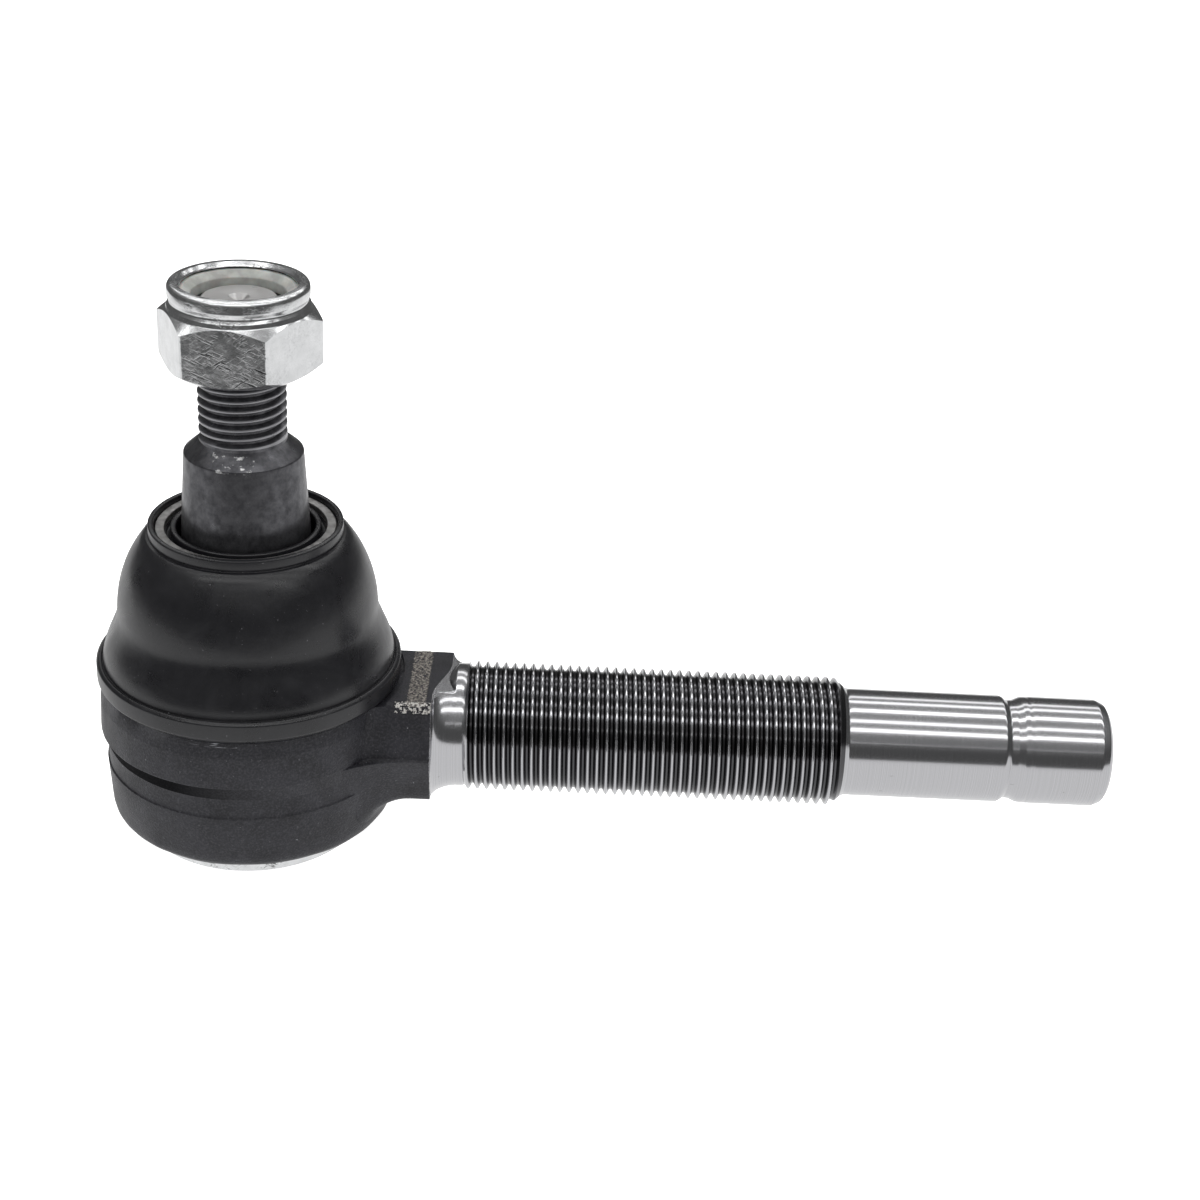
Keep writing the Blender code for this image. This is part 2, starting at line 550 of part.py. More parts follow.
def make_nut(finish):
    """Hexagon nut whose round collar holds the nylon ring."""
    bm = bmesh.new()
    corner = NUT_FLAT_RADIUS / math.cos(math.radians(30))
    made = bmesh.ops.create_circle(bm, segments=6, radius=corner, cap_ends=True)
    pushed = bmesh.ops.extrude_face_region(bm, geom=bm.faces[:])
    moved = [item for item in pushed["geom"] if isinstance(item, bmesh.types.BMVert)]
    bmesh.ops.translate(bm, verts=moved, vec=(0, 0, NUT_TOP - NUT_BOTTOM))
    bmesh.ops.translate(bm, verts=bm.verts[:], vec=(0, 0, NUT_BOTTOM + BALL_HEIGHT))
    bmesh.ops.rotate(bm, verts=bm.verts[:], cent=(0, 0, 0), matrix=Matrix.Rotation(math.radians(NUT_TURN), 3, "Z"))
    bmesh.ops.recalc_face_normals(bm, faces=bm.faces[:])
    nut = add_object("lock_nut", bm, finish)

    collar = NUT_FLAT_RADIUS - NUT_COLLAR_STEP
    face_radius = NUT_FLAT_RADIUS - NUT_FACE_STEP
    envelope = [
        (0.0, NUT_BOTTOM),
        (face_radius, NUT_BOTTOM),
        (corner + 0.1 * MM, NUT_BOTTOM + NUT_BOTTOM_CHAMFER),
        (corner + 0.1 * MM, NUT_HEX_TOP - NUT_TOP_CHAMFER),
        (collar, NUT_HEX_TOP),
        (collar - 0.1 * MM, NUT_TOP - 1.2 * MM),
    ]
    envelope += arc((collar - 1.3 * MM, NUT_TOP - 1.2 * MM), 1.2 * MM, 15, 90, 4)
    envelope.append((0.0, NUT_TOP))
    combine(nut, turned("nut_envelope", envelope, finish), "INTERSECT")

    pocket = NUT_BORE_RADIUS + NYLON_WALL + GAP
    roof = NUT_TOP - NUT_LIP
    floor = NYLON_BOTTOM - GAP
    countersink = 0.7 * MM
    hole = [
        (0.0, NUT_BOTTOM - 1.0 * MM),
        (NUT_BORE_RADIUS + countersink + 1.0 * MM, NUT_BOTTOM - 1.0 * MM),
        (NUT_BORE_RADIUS, NUT_BOTTOM + countersink),
        (NUT_BORE_RADIUS, floor),
        (pocket, floor),
        (pocket, roof),
        (pocket - 1.0 * MM, roof),
        (pocket - 0.8 * MM, NUT_TOP + 1.0 * MM),
        (0.0, NUT_TOP + 1.0 * MM),
    ]
    combine(nut, turned("nut_hole", hole, finish, steps=SMALL_STEPS), "DIFFERENCE")
    return nut


def make_nylon(finish):
    """Nylon ring that grips the stud's thread."""
    outline = [
        (NUT_BORE_RADIUS, NYLON_BOTTOM),
        (NUT_BORE_RADIUS + NYLON_WALL, NYLON_BOTTOM),
        (NUT_BORE_RADIUS + NYLON_WALL, NYLON_BOTTOM + NYLON_HEIGHT),
        (NUT_BORE_RADIUS + 0.3 * MM, NYLON_BOTTOM + NYLON_HEIGHT),
        (NUT_BORE_RADIUS, NYLON_BOTTOM + NYLON_HEIGHT - 0.3 * MM),
    ]
    return turned("nylon_insert", outline, finish, steps=SMALL_STEPS)


def main():
    for old in list(bpy.data.objects):
        bpy.data.objects.remove(old, do_unlink=True)

    black_forging = material("black_painted_forging", (0.035, 0.036, 0.039), 0.5, 0.3)
    stud_steel = material("black_phosphated_steel", (0.045, 0.045, 0.048), 0.42, 0.75)
    zinc = material("zinc_plated_steel", (0.72, 0.72, 0.73), 0.28, 1.0)
    spring_steel = material("spring_steel", (0.3, 0.3, 0.32), 0.35, 1.0)
    acetal = material("acetal", (0.82, 0.81, 0.76), 0.45, 0.0)
    nylon = material("nylon", (0.75, 0.75, 0.72), 0.4, 0.0)
    rubber = material("chloroprene_rubber", (0.02, 0.02, 0.021), 0.45, 0.0)
    bare_steel = material("bare_steel", (0.25, 0.25, 0.26), 0.4, 1.0)

    make_housing(black_forging)
    make_ball_stud(stud_steel)
    make_seats(acetal)
    make_spring(spring_steel)
    make_cover(zinc)
    make_seal(rubber)
    make_boot(rubber, bare_steel)
    make_nut(zinc)
    make_nylon(nylon)


main()
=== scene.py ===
import json
import math

import bmesh
import bpy
from mathutils import Matrix, Vector, noise


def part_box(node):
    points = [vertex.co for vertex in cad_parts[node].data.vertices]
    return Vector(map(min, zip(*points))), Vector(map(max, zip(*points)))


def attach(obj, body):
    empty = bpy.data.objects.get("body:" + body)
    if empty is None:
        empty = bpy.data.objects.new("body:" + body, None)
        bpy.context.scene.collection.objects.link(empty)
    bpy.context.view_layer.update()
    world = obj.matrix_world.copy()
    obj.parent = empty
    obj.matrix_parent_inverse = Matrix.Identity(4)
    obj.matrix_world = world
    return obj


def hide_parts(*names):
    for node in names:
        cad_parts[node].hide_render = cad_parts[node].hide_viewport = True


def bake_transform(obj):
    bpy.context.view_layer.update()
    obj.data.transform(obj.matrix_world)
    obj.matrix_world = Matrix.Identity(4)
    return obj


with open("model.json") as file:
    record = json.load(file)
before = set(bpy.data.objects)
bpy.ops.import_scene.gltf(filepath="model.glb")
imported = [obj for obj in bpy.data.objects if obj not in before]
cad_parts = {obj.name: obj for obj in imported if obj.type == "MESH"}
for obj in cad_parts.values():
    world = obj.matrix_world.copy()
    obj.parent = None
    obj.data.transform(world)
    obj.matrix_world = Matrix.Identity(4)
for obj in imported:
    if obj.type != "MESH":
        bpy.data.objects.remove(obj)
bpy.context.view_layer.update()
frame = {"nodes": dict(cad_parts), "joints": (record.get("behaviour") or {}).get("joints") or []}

mm = 0.001
tiltJoint = next(joint for joint in frame["joints"] if joint["name"] == "stud_tilt")
ballZ = tiltJoint["pos_m"][2]                 # height of the ball's centre, and of the shank's axis
forgeLow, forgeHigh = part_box("housing")
studLow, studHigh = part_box("ball_stud")
coverLow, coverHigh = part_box("cover_plate")
bootLow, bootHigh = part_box("dust_boot")
washerLow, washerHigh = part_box("boot_rim_washer")
nutLow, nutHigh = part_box("lock_nut")
nylonLow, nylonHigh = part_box("nylon_insert")


def overBall(z):
    # a height in the frame as mm over the ball's centre
    return (z - ballZ) / mm


def softened(corners, closed=True, steps=4):
    # rounds each corner (radius, height, fillet) of an outline with a short curve
    points = []
    count = len(corners)
    for index, (radius, height, fillet) in enumerate(corners):
        here = Vector((radius, height))
        inside = closed or 0 < index < count - 1
        if fillet <= 0 or not inside:
            points.append(tuple(here))
            continue
        before = Vector(corners[index - 1][:2]) - here
        after = Vector(corners[(index + 1) % count][:2]) - here
        reach = fillet / math.tan(before.angle(after) / 2)
        reach = min(reach, before.length * 0.48, after.length * 0.48)
        start = here + before.normalized() * reach
        end = here + after.normalized() * reach
        for step in range(steps + 1):
            share = step / steps
            points.append(tuple(start.lerp(here, share).lerp(here.lerp(end, share), share)))
    return points


def arcPoints(radius, start, end, steps):
    # points on an arc round the origin in the (radius, height) plane, angles in degrees
    angles = [math.radians(start + (end - start) * step / steps) for step in range(steps + 1)]
    return [(radius * math.cos(a), radius * math.sin(a)) for a in angles]


def along(table, place):
    # reads a value from a short list of (place, value), in straight lines between them
    if place <= table[0][0]:
        return table[0][1]
    for (near, low), (far, high) in zip(table, table[1:]):
        if place <= far:
            return low + (high - low) * (place - near) / (far - near)
    return table[-1][1]


def spunShape(outline, steps=144):
    # solid of revolution about Z from a closed outline of (radius, height)
    bm = bmesh.new()
    corners = [bm.verts.new((radius, 0, height)) for radius, height in outline]
    for pair in zip(corners, corners[1:] + corners[:1]):
        bm.edges.new(pair)
    bmesh.ops.spin(bm, geom=bm.verts[:] + bm.edges[:], cent=(0, 0, 0), axis=(0, 0, 1),
                   angle=2 * math.pi, steps=steps, use_merge=True)
    bmesh.ops.remove_doubles(bm, verts=bm.verts[:], dist=0.0005)
    bmesh.ops.dissolve_degenerate(bm, dist=0.0005, edges=bm.edges[:])
    bmesh.ops.delete(bm, geom=[edge for edge in bm.edges if edge.is_wire], context="EDGES")
    bmesh.ops.recalc_face_normals(bm, faces=bm.faces[:])
    return bm


def laidAlongX(bm):
    # turns a shape made about Z onto the shank's axis
    bmesh.ops.rotate(bm, verts=bm.verts[:], cent=(0, 0, 0), matrix=Matrix.Rotation(math.radians(90), 3, "Y"))
    return bm


def threadShape(bar):
    # a zigzag spun one turn while it climbs one pitch, so that its turns join into one helix,
    # then held between the turned floor and the ceiling of the bar and cut square at both ends
    bm = bmesh.new()
    pitch, root, crest = bar["pitch"], bar["root"], bar["crest"]
    form = [(0.0, root), (0.2, root), (0.525, crest - 0.05), (0.57, crest), (0.68, crest), (0.725, crest - 0.05)]
    turns = math.ceil((bar["top"] - bar["bottom"]) / pitch) + 3
    line = []
    for turn in range(turns):
        for share, radius in form:
            line.append(bm.verts.new((radius, 0, bar["bottom"] + (turn - 2 + share) * pitch)))
    for pair in zip(line, line[1:]):
        bm.edges.new(pair)
    bmesh.ops.spin(bm, geom=bm.verts[:] + bm.edges[:], cent=(0, 0, 0), axis=(0, 0, 1),
                   angle=2 * math.pi, steps=bar["steps"], dvec=(0, 0, pitch / bar["steps"]))
    bmesh.ops.remove_doubles(bm, verts=bm.verts[:], dist=0.0005)
    for vert in bm.verts:
        radius = math.hypot(vert.co.x, vert.co.y)
        held = min(max(radius, along(bar["floor"], vert.co.z)), along(bar["ceiling"], vert.co.z))
        vert.co.x *= held / radius
        vert.co.y *= held / radius
    for height, side in ((bar["top"], 1), (bar["bottom"], -1)):
        bmesh.ops.bisect_plane(bm, geom=bm.verts[:] + bm.edges[:] + bm.faces[:], dist=0.00001,
                               plane_co=(0, 0, height), plane_no=(0, 0, side), clear_outer=True)
    return bm


def growEnd(bm, height, profile):
    # carries the open end at a height on through a profile of (radius, height), and closes it at the axis
    loop = [e for e in bm.edges if e.is_boundary and all(abs(v.co.z - height) < 0.001 for v in e.verts)]
    for radius, level in profile:
        made = bmesh.ops.extrude_edge_only(bm, edges=loop)["geom"]
        ring = [item for item in made if isinstance(item, bmesh.types.BMVert)]
        loop = [item for item in made if isinstance(item, bmesh.types.BMEdge) and item.is_boundary]
        for vert in ring:
            flat = Vector((vert.co.x, vert.co.y, 0)).normalized() * max(radius, 0.01)
            vert.co = (flat.x, flat.y, level)
    bmesh.ops.pointmerge(bm, verts=ring, merge_co=(0, 0, profile[-1][1]))
    bmesh.ops.recalc_face_normals(bm, faces=bm.faces[:])


def roughened(bm, amount, size, keep):
    # lets a skin wander along its normals, as far as keep(point) allows
    bm.normal_update()
    moves = [(v, v.normal * noise.noise(v.co / size) * amount * keep(v.co)) for v in bm.verts]
    for vert, move in moves:
        vert.co += move


def toObject(name, bm):
    # from mm over the ball's centre to metres in the frame
    bmesh.ops.scale(bm, vec=(mm, mm, mm), verts=bm.verts[:])
    bmesh.ops.translate(bm, vec=(0, 0, ballZ), verts=bm.verts[:])
    mesh = bpy.data.meshes.new(name)
    bm.to_mesh(mesh)
    bm.free()
    made = bpy.data.objects.new(name, mesh)
    bpy.context.scene.collection.objects.link(made)
    return made


def combined(body, tool, operation):
    # boolean with a second object, which is used up
    step = body.modifiers.new(operation, "BOOLEAN")
    step.operation = operation
    step.object = tool
    step.solver = "EXACT"
    bpy.context.view_layer.update()
    result = bpy.data.meshes.new_from_object(body.evaluated_get(bpy.context.evaluated_depsgraph_get()))
    body.modifiers.remove(step)
    body.data = result
    bpy.data.objects.remove(tool)


def finished(piece, body, material, nodeName, smoothAngle=32):
    piece.data.shade_smooth()
    piece.data.set_sharp_from_angle(angle=math.radians(smoothAngle))
    piece.data.materials.clear()
    piece.data.materials.append(material)
    if body:
        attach(piece, body)
    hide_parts(nodeName)
    print("made", piece.name, len(piece.data.polygons), "faces")
    return piece


def srgb(code):
    # sRGB hex to linear colour
    parts = [int(code[i:i + 2], 16) / 255 for i in (1, 3, 5)]
    return (*[p / 12.92 if p <= 0.04045 else ((p + 0.055) / 1.055) ** 2.4 for p in parts], 1)


def node(tree, kind, inputs, out=0, **settings):
    # adds a shader node with its settings; each input is given a value or another node's output
    made = tree.nodes.new("ShaderNode" + kind)
    for name, value in settings.items():
        setattr(made, name, value)
    for place, source in inputs.items():
        if isinstance(source, bpy.types.NodeSocket):
            tree.links.new(source, made.inputs[place])
        else:
            made.inputs[place].default_value = source
    return made.outputs[out] if len(made.outputs) else made


def newMaterial(name, **sockets):
    # a Principled material with values set on its shader
    made = bpy.data.materials.new(name)
    made.use_nodes = True
    shader = made.node_tree.nodes["Principled BSDF"]
    for socket, value in sockets.items():
        shader.inputs[socket.replace("_", " ")].default_value = value
    return made, made.node_tree, shader


paintLook = {
    "light": "#1f1f24", "dark": "#131317", "peak": "#46464b", "dust": "#6a6b6f",
    "grain": 0.32, "fine": 0.45, "speck": 0.55, "mottle": 5.0, "bump": 0.09,
    "steelLight": "#c4c4c6", "steelDark": "#acacaf", "feed": 0.11, "nick": "#6d6c6b",
    # painted shade: the next colour darkens the shank thread's valleys
    "valleyShade": "#515153", "valleyTop": 10.42, "valleyFloor": 10.0, "threaded": (35.7, 96.3),
    "edgeShift": -0.12, "edgeRagged": 0.35,     # where the paint ends, from the turned wall
    "rubbed": "#6c6d71", "rubbedZ": 7.6, "rubbedX": -2.5, "rubbedY": -20.0,
    # painted shade: a near-black band under the die mismatch
    "shelfShade": "#030304", "shelfShadeZ": -0.95, "shelfShadeHalf": 1.05,
    "patchZ": 8.45, "ridgeZ": 8.2, "ridgeY": -9.7,
    "scaleLight": "#a09a92", "scaleDark": "#2a2725", "glint": "#e2dfda",
}


def paintedForging():
    # hot-forged carbon steel under thin black enamel: a satin charcoal skin over forging scale.
    # the shank is turned and rolled after painting, so past a slanting line it is bare bright steel
    s = paintLook
    made, tree, shader = newMaterial("blackPaintedForging")
    place = node(tree, "TexCoord", {}, out="Object")
    x, y, z = node(tree, "SeparateXYZ", {"Vector": place}).node.outputs
    fine = node(tree, "TexNoise", {"Vector": place, "Scale": 1 / (s["fine"] * mm), "Detail": 3.0,
                "Roughness": 0.7}, out="Fac")
    grain = node(tree, "TexNoise", {"Vector": place, "Scale": 1 / (s["grain"] * mm), "Detail": 4.0,
                 "Roughness": 0.6}, out="Fac")
    mottle = node(tree, "TexNoise", {"Vector": place, "Scale": 1 / (s["mottle"] * mm), "Detail": 3.0,
                  "Roughness": 0.6}, out="Fac")

    lean = node(tree, "MapRange", {"Value": y, "From Min": neck["leanFrom"] * mm,
                "From Max": neck["leanTo"] * mm, "To Max": neck["lean"] * mm}, interpolation_type="SMOOTHSTEP")
    onTop = node(tree, "MapRange", {"Value": z, "From Min": ballZ + 3.2 * mm, "From Max": ballZ + 5.2 * mm})
    ragged = node(tree, "Math", {0: fine, 1: s["edgeRagged"] * mm,
                  2: (neck["flareStart"] + s["edgeShift"]) * mm}, operation="MULTIPLY_ADD")
    edge = node(tree, "Math", {0: lean, 1: onTop, 2: ragged}, operation="MULTIPLY_ADD")
    past = node(tree, "Math", {0: x, 1: edge}, operation="SUBTRACT")
    steel = node(tree, "MapRange", {"Value": past, "From Min": -0.05 * mm, "From Max": 0.05 * mm})

    shade = node(tree, "MapRange", {"Value": mottle, "From Min": 0.3, "From Max": 0.7})
    paint = node(tree, "Mix", {0: shade, 6: srgb(s["dark"]), 7: srgb(s["light"])}, out=2, data_type="RGBA")
    peaks = node(tree, "MapRange", {"Value": grain, "From Min": 0.45, "From Max": 0.7, "To Max": 0.35})
    paint = node(tree, "Mix", {0: peaks, 6: paint, 7: srgb(s["peak"])}, out=2, data_type="RGBA")
    specks = node(tree, "TexNoise", {"Vector": place, "Scale": 1 / (s["speck"] * mm), "Detail": 2.0,
                  "Roughness": 0.7}, out="Fac")
    dust = node(tree, "MapRange", {"Value": specks, "From Min": 0.70, "From Max": 0.77})
    paint = node(tree, "Mix", {0: dust, 6: paint, 7: srgb(s["dust"])}, out=2, data_type="RGBA")

    # rubbed streaks on the front, just under the boot
    streaked = node(tree, "Mapping", {"Vector": place, "Scale": (0.12, 0.12, 1)})
    streak = node(tree, "TexNoise", {"Vector": streaked, "Scale": 1 / (0.3 * mm)}, out="Fac")
    streak = node(tree, "MapRange", {"Value": streak, "From Min": 0.55, "From Max": 0.64})
    upper = node(tree, "Math", {0: z, 1: ballZ + s["rubbedZ"] * mm, 2: 0.35 * mm}, operation="COMPARE")
    middle = node(tree, "Math", {0: x, 1: s["rubbedX"] * mm, 2: 4 * mm}, operation="COMPARE")
    facing = node(tree, "Math", {0: y, 1: s["rubbedY"] * mm}, operation="LESS_THAN")
    for mask in (upper, middle, facing):
        streak = node(tree, "Math", {0: streak, 1: mask}, operation="MULTIPLY")
    paint = node(tree, "Mix", {0: streak, 6: paint, 7: srgb(s["rubbed"])}, out=2, data_type="RGBA")

    # painted shade: the mismatch under the upper die half is painted near-black on the side away from the shank,
    # where shade falls
    shelfShade = node(tree, "Math", {0: z, 1: ballZ + s["shelfShadeZ"] * mm, 2: s["shelfShadeHalf"] * mm}, operation="COMPARE")
    away = node(tree, "MapRange", {"Value": x, "From Min": 9 * mm, "From Max": -9 * mm, "To Max": 0.9})
    shelfShade = node(tree, "Math", {0: shelfShade, 1: away}, operation="MULTIPLY")
    paint = node(tree, "Mix", {0: shelfShade, 6: paint, 7: srgb(s["shelfShade"])}, out=2, data_type="RGBA")

    # flat top of the neck, where trimming the flash has broken the paint down to brown-grey scale
    start, end = neck["patch"]
    loose = node(tree, "Math", {0: fine, 1: 1.4 * mm, 2: x}, operation="MULTIPLY_ADD")
    patchX = node(tree, "Math", {0: loose, 1: ((start + end) / 2 + 0.7) * mm, 2: (end - start) / 2 * mm},
                  operation="COMPARE")
    patchZ = node(tree, "Math", {0: z, 1: ballZ + s["patchZ"] * mm}, operation="GREATER_THAN")
    chips = node(tree, "MapRange", {"Value": fine, "From Min": 0.43, "From Max": 0.52})
    flat = node(tree, "Math", {0: patchX, 1: patchZ}, operation="MULTIPLY")
    broken = node(tree, "Math", {0: flat, 1: chips}, operation="MULTIPLY")
    mixed = node(tree, "MapRange", {"Value": grain, "From Min": 0.38, "From Max": 0.62})
    scale = node(tree, "Mix", {0: mixed, 6: srgb(s["scaleDark"]), 7: srgb(s["scaleLight"])}, out=2, data_type="RGBA")
    paint = node(tree, "Mix", {0: broken, 6: paint, 7: scale}, out=2, data_type="RGBA")

    # sheared ridge along the front top edge, sparkling where steel shows
    nearTop = node(tree, "Math", {0: z, 1: ballZ + s["ridgeZ"] * mm, 2: 0.8 * mm}, operation="COMPARE")
    nearFront = node(tree, "Math", {0: y, 1: s["ridgeY"] * mm, 2: 0.9 * mm}, operation="COMPARE")
    ridge = node(tree, "Math", {0: nearTop, 1: nearFront}, operation="MULTIPLY")
    start, end = neck["ridge"]
    ridgeX = node(tree, "Math", {0: x, 1: (start + end) / 2 * mm, 2: (end - start) / 2 * mm}, operation="COMPARE")
    ridge = node(tree, "Math", {0: ridge, 1: ridgeX}, operation="MULTIPLY")
    spark = node(tree, "MapRange", {"Value": specks, "From Min": 0.49, "From Max": 0.56})
    glint = node(tree, "Math", {0: ridge, 1: spark}, operation="MULTIPLY")
    paint = node(tree, "Mix", {0: glint, 6: paint, 7: srgb(s["glint"])}, out=2, data_type="RGBA")

    # lathe marks run round the shank, so they vary along X only
    rings = node(tree, "Mapping", {"Vector": place, "Scale": (1, 0, 0)})
    feed = node(tree, "TexNoise", {"Vector": rings, "Scale": 1 / (s["feed"] * mm), "Detail": 2.0}, out="Fac")
    band = node(tree, "MapRange", {"Value": feed, "From Min": 0.3, "From Max": 0.7})
    bright = node(tree, "Mix", {0: band, 6: srgb(s["steelDark"]), 7: srgb(s["steelLight"])}, out=2, data_type="RGBA")
    drawn = node(tree, "Mapping", {"Vector": place, "Scale": (0.25, 1, 1)})
    nicks = node(tree, "TexNoise", {"Vector": drawn, "Scale": 1 / (0.4 * mm)}, out="Fac")
    nicked = node(tree, "MapRange", {"Value": nicks, "From Min": 0.75, "From Max": 0.80})
    bright = node(tree, "Mix", {0: nicked, 6: bright, 7: srgb(s["nick"])}, out=2, data_type="RGBA")
    # painted shade: the thread's valleys are painted darker
    across = node(tree, "CombineXYZ", {"Y": y, "Z": node(tree, "Math", {0: z, 1: ballZ}, operation="SUBTRACT")})
    radius = node(tree, "VectorMath", {0: across}, out="Value", operation="LENGTH")
    valleyShade = node(tree, "MapRange", {"Value": radius, "From Min": s["valleyTop"] * mm,
                  "From Max": s["valleyFloor"] * mm})
    start, end = s["threaded"]
    threaded = node(tree, "Math", {0: x, 1: (start + end) / 2 * mm, 2: (end - start) / 2 * mm}, operation="COMPARE")
    valleyShade = node(tree, "Math", {0: valleyShade, 1: threaded}, operation="MULTIPLY")
    bright = node(tree, "Mix", {0: valleyShade, 6: bright, 7: srgb(s["valleyShade"])}, out=2, data_type="RGBA")
    color = node(tree, "Mix", {0: steel, 6: paint, 7: bright}, out=2, data_type="RGBA")
    tree.links.new(color, shader.inputs["Base Color"])
    metal = node(tree, "Math", {0: steel, 1: glint}, operation="MAXIMUM")
    tree.links.new(metal, shader.inputs["Metallic"])

    paintGloss = node(tree, "MapRange", {"Value": mottle, "From Min": 0.25, "From Max": 0.75,
                      "To Min": 0.50, "To Max": 0.38})
    steelGloss = node(tree, "MapRange", {"Value": feed, "From Min": 0.25, "From Max": 0.75,
                      "To Min": 0.12, "To Max": 0.20})
    # the painted shade band is also made rough and less shiny
    paintGloss = node(tree, "Math", {0: paintGloss, 1: shelfShade}, operation="MAXIMUM")
    gloss = node(tree, "Mix", {0: steel, 2: paintGloss, 3: steelGloss}, data_type="FLOAT")
    tree.links.new(gloss, shader.inputs["Roughness"])
    sheen = node(tree, "Math", {0: shelfShade, 1: -0.25, 2: 0.3}, operation="MULTIPLY_ADD")
    tree.links.new(sheen, shader.inputs["Specular IOR Level"])

    painted = node(tree, "Math", {0: 1.0, 1: steel}, operation="SUBTRACT")
    skin = node(tree, "Math", {0: grain, 1: painted}, operation="MULTIPLY")
    under = node(tree, "Bump", {"Height": skin, "Distance": s["bump"] * mm})
    torn = node(tree, "Math", {0: flat, 1: ridge}, operation="MAXIMUM")
    torn = node(tree, "Math", {0: torn, 1: fine}, operation="MULTIPLY")
    under = node(tree, "Bump", {"Height": torn, "Distance": 0.4 * mm, "Normal": under})
    turned = node(tree, "Math", {0: feed, 1: steel}, operation="MULTIPLY")
    under = node(tree, "Bump", {"Height": turned, "Distance": 0.0012 * mm, "Normal": under})
    tree.links.new(under, shader.inputs["Normal"])
    return made


studLook = {
    "light": "#626265", "dark": "#464649", "cloud": 1.6, "grain": 0.16, "wave": 1.3,
    # bright patch on the shoulder's front: partly worn steel, partly painted highlight
    "glint": "#d8d8d8", "glintZ": 47.8, "glintY": -5.5, "glintX": -0.4,
    "crest": "#8e8e91", "crestFrom": 6.55, "crestTo": 6.72, "crestZ": 49.6,
    "end": "#b4b3b2", "endLength": 1.3,
}


def phosphatedSteel():
    # alloy steel with a dark manganese phosphate coat: near-black satin with a faint metal sheen,
    # and a bright patch on the front of the shoulder: partly steel rubbed through where the nut and spanner catch it,
    # partly a painted highlight
    s = studLook
    made, tree, shader = newMaterial("phosphatedSteel", Metallic=0.85)
    place = node(tree, "TexCoord", {}, out="Object")
    x, y, z = node(tree, "SeparateXYZ", {"Vector": place}).node.outputs
    cloud = node(tree, "TexNoise", {"Vector": place, "Scale": 1 / (s["cloud"] * mm), "Detail": 4.0,
                 "Roughness": 0.65}, out="Fac")
    shade = node(tree, "MapRange", {"Value": cloud, "From Min": 0.35, "From Max": 0.68})
    tone = node(tree, "Mix", {0: shade, 6: srgb(s["dark"]), 7: srgb(s["light"])}, out=2, data_type="RGBA")
    drawn = node(tree, "Mapping", {"Vector": place, "Scale": (0.5, 0.5, 1)})
    chips = node(tree, "TexNoise", {"Vector": drawn, "Scale": 1 / (0.6 * mm), "Detail": 3.0,
                 "Roughness": 0.6}, out="Fac")
    # bright patch on the shoulder's front only: partly worn steel, partly painted highlight
    worn = node(tree, "MapRange", {"Value": chips, "From Min": 0.56, "From Max": 0.68})
    shoulder = node(tree, "Math", {0: z, 1: ballZ + s["glintZ"] * mm, 2: 1.1 * mm}, operation="COMPARE")
    front = node(tree, "Math", {0: y, 1: s["glintY"] * mm}, operation="LESS_THAN")
    middle = node(tree, "Math", {0: x, 1: s["glintX"] * mm, 2: 3.2 * mm}, operation="COMPARE")
    glint = node(tree, "Math", {0: worn, 1: shoulder}, operation="MULTIPLY")
    for mask in (front, middle):
        glint = node(tree, "Math", {0: glint, 1: mask}, operation="MULTIPLY")
    # crests are rubbed lighter by the nut
    flat = node(tree, "VectorMath", {0: place, 1: (1, 1, 0)}, operation="MULTIPLY")
    radius = node(tree, "VectorMath", {0: flat}, out="Value", operation="LENGTH")
    crest = node(tree, "MapRange", {"Value": radius, "From Min": s["crestFrom"] * mm, "From Max": s["crestTo"] * mm})
    over = node(tree, "Math", {0: z, 1: ballZ + s["crestZ"] * mm}, operation="GREATER_THAN")
    crest = node(tree, "Math", {0: crest, 1: over}, operation="MULTIPLY")
    tone = node(tree, "Mix", {0: crest, 6: tone, 7: srgb(s["crest"])}, out=2, data_type="RGBA")
    tone = node(tree, "Mix", {0: glint, 6: tone, 7: srgb(s["glint"])}, out=2, data_type="RGBA")
    # the cropped end is bare
    end = node(tree, "Math", {0: z, 1: studHigh.z - s["endLength"] * mm}, operation="GREATER_THAN")
    tone = node(tree, "Mix", {0: end, 6: tone, 7: srgb(s["end"])}, out=2, data_type="RGBA")
    tree.links.new(tone, shader.inputs["Base Color"])
    gloss = node(tree, "MapRange", {"Value": cloud, "From Min": 0.3, "From Max": 0.7, "To Min": 0.36, "To Max": 0.27})
    tree.links.new(gloss, shader.inputs["Roughness"])
    grain = node(tree, "TexNoise", {"Vector": place, "Scale": 1 / (s["grain"] * mm), "Detail": 3.0}, out="Fac")
    wave = node(tree, "TexNoise", {"Vector": place, "Scale": 1 / (s["wave"] * mm)}, out="Fac")
    under = node(tree, "Bump", {"Height": grain, "Distance": 0.008 * mm})
    under = node(tree, "Bump", {"Height": wave, "Distance": 0.02 * mm, "Normal": under})
    tree.links.new(under, shader.inputs["Normal"])
    return made


zincLook = {
    "light": "#e2e3e4", "dark": "#d2d3d4", "scratch": "#4a4a4b", "cloud": 2.2, "elsewhere": 0.12,
    # slope in degrees and width in mm of each family of scratches
    "scratches": [(27, 0.28), (20, 0.5), (-38, 0.25)],
}


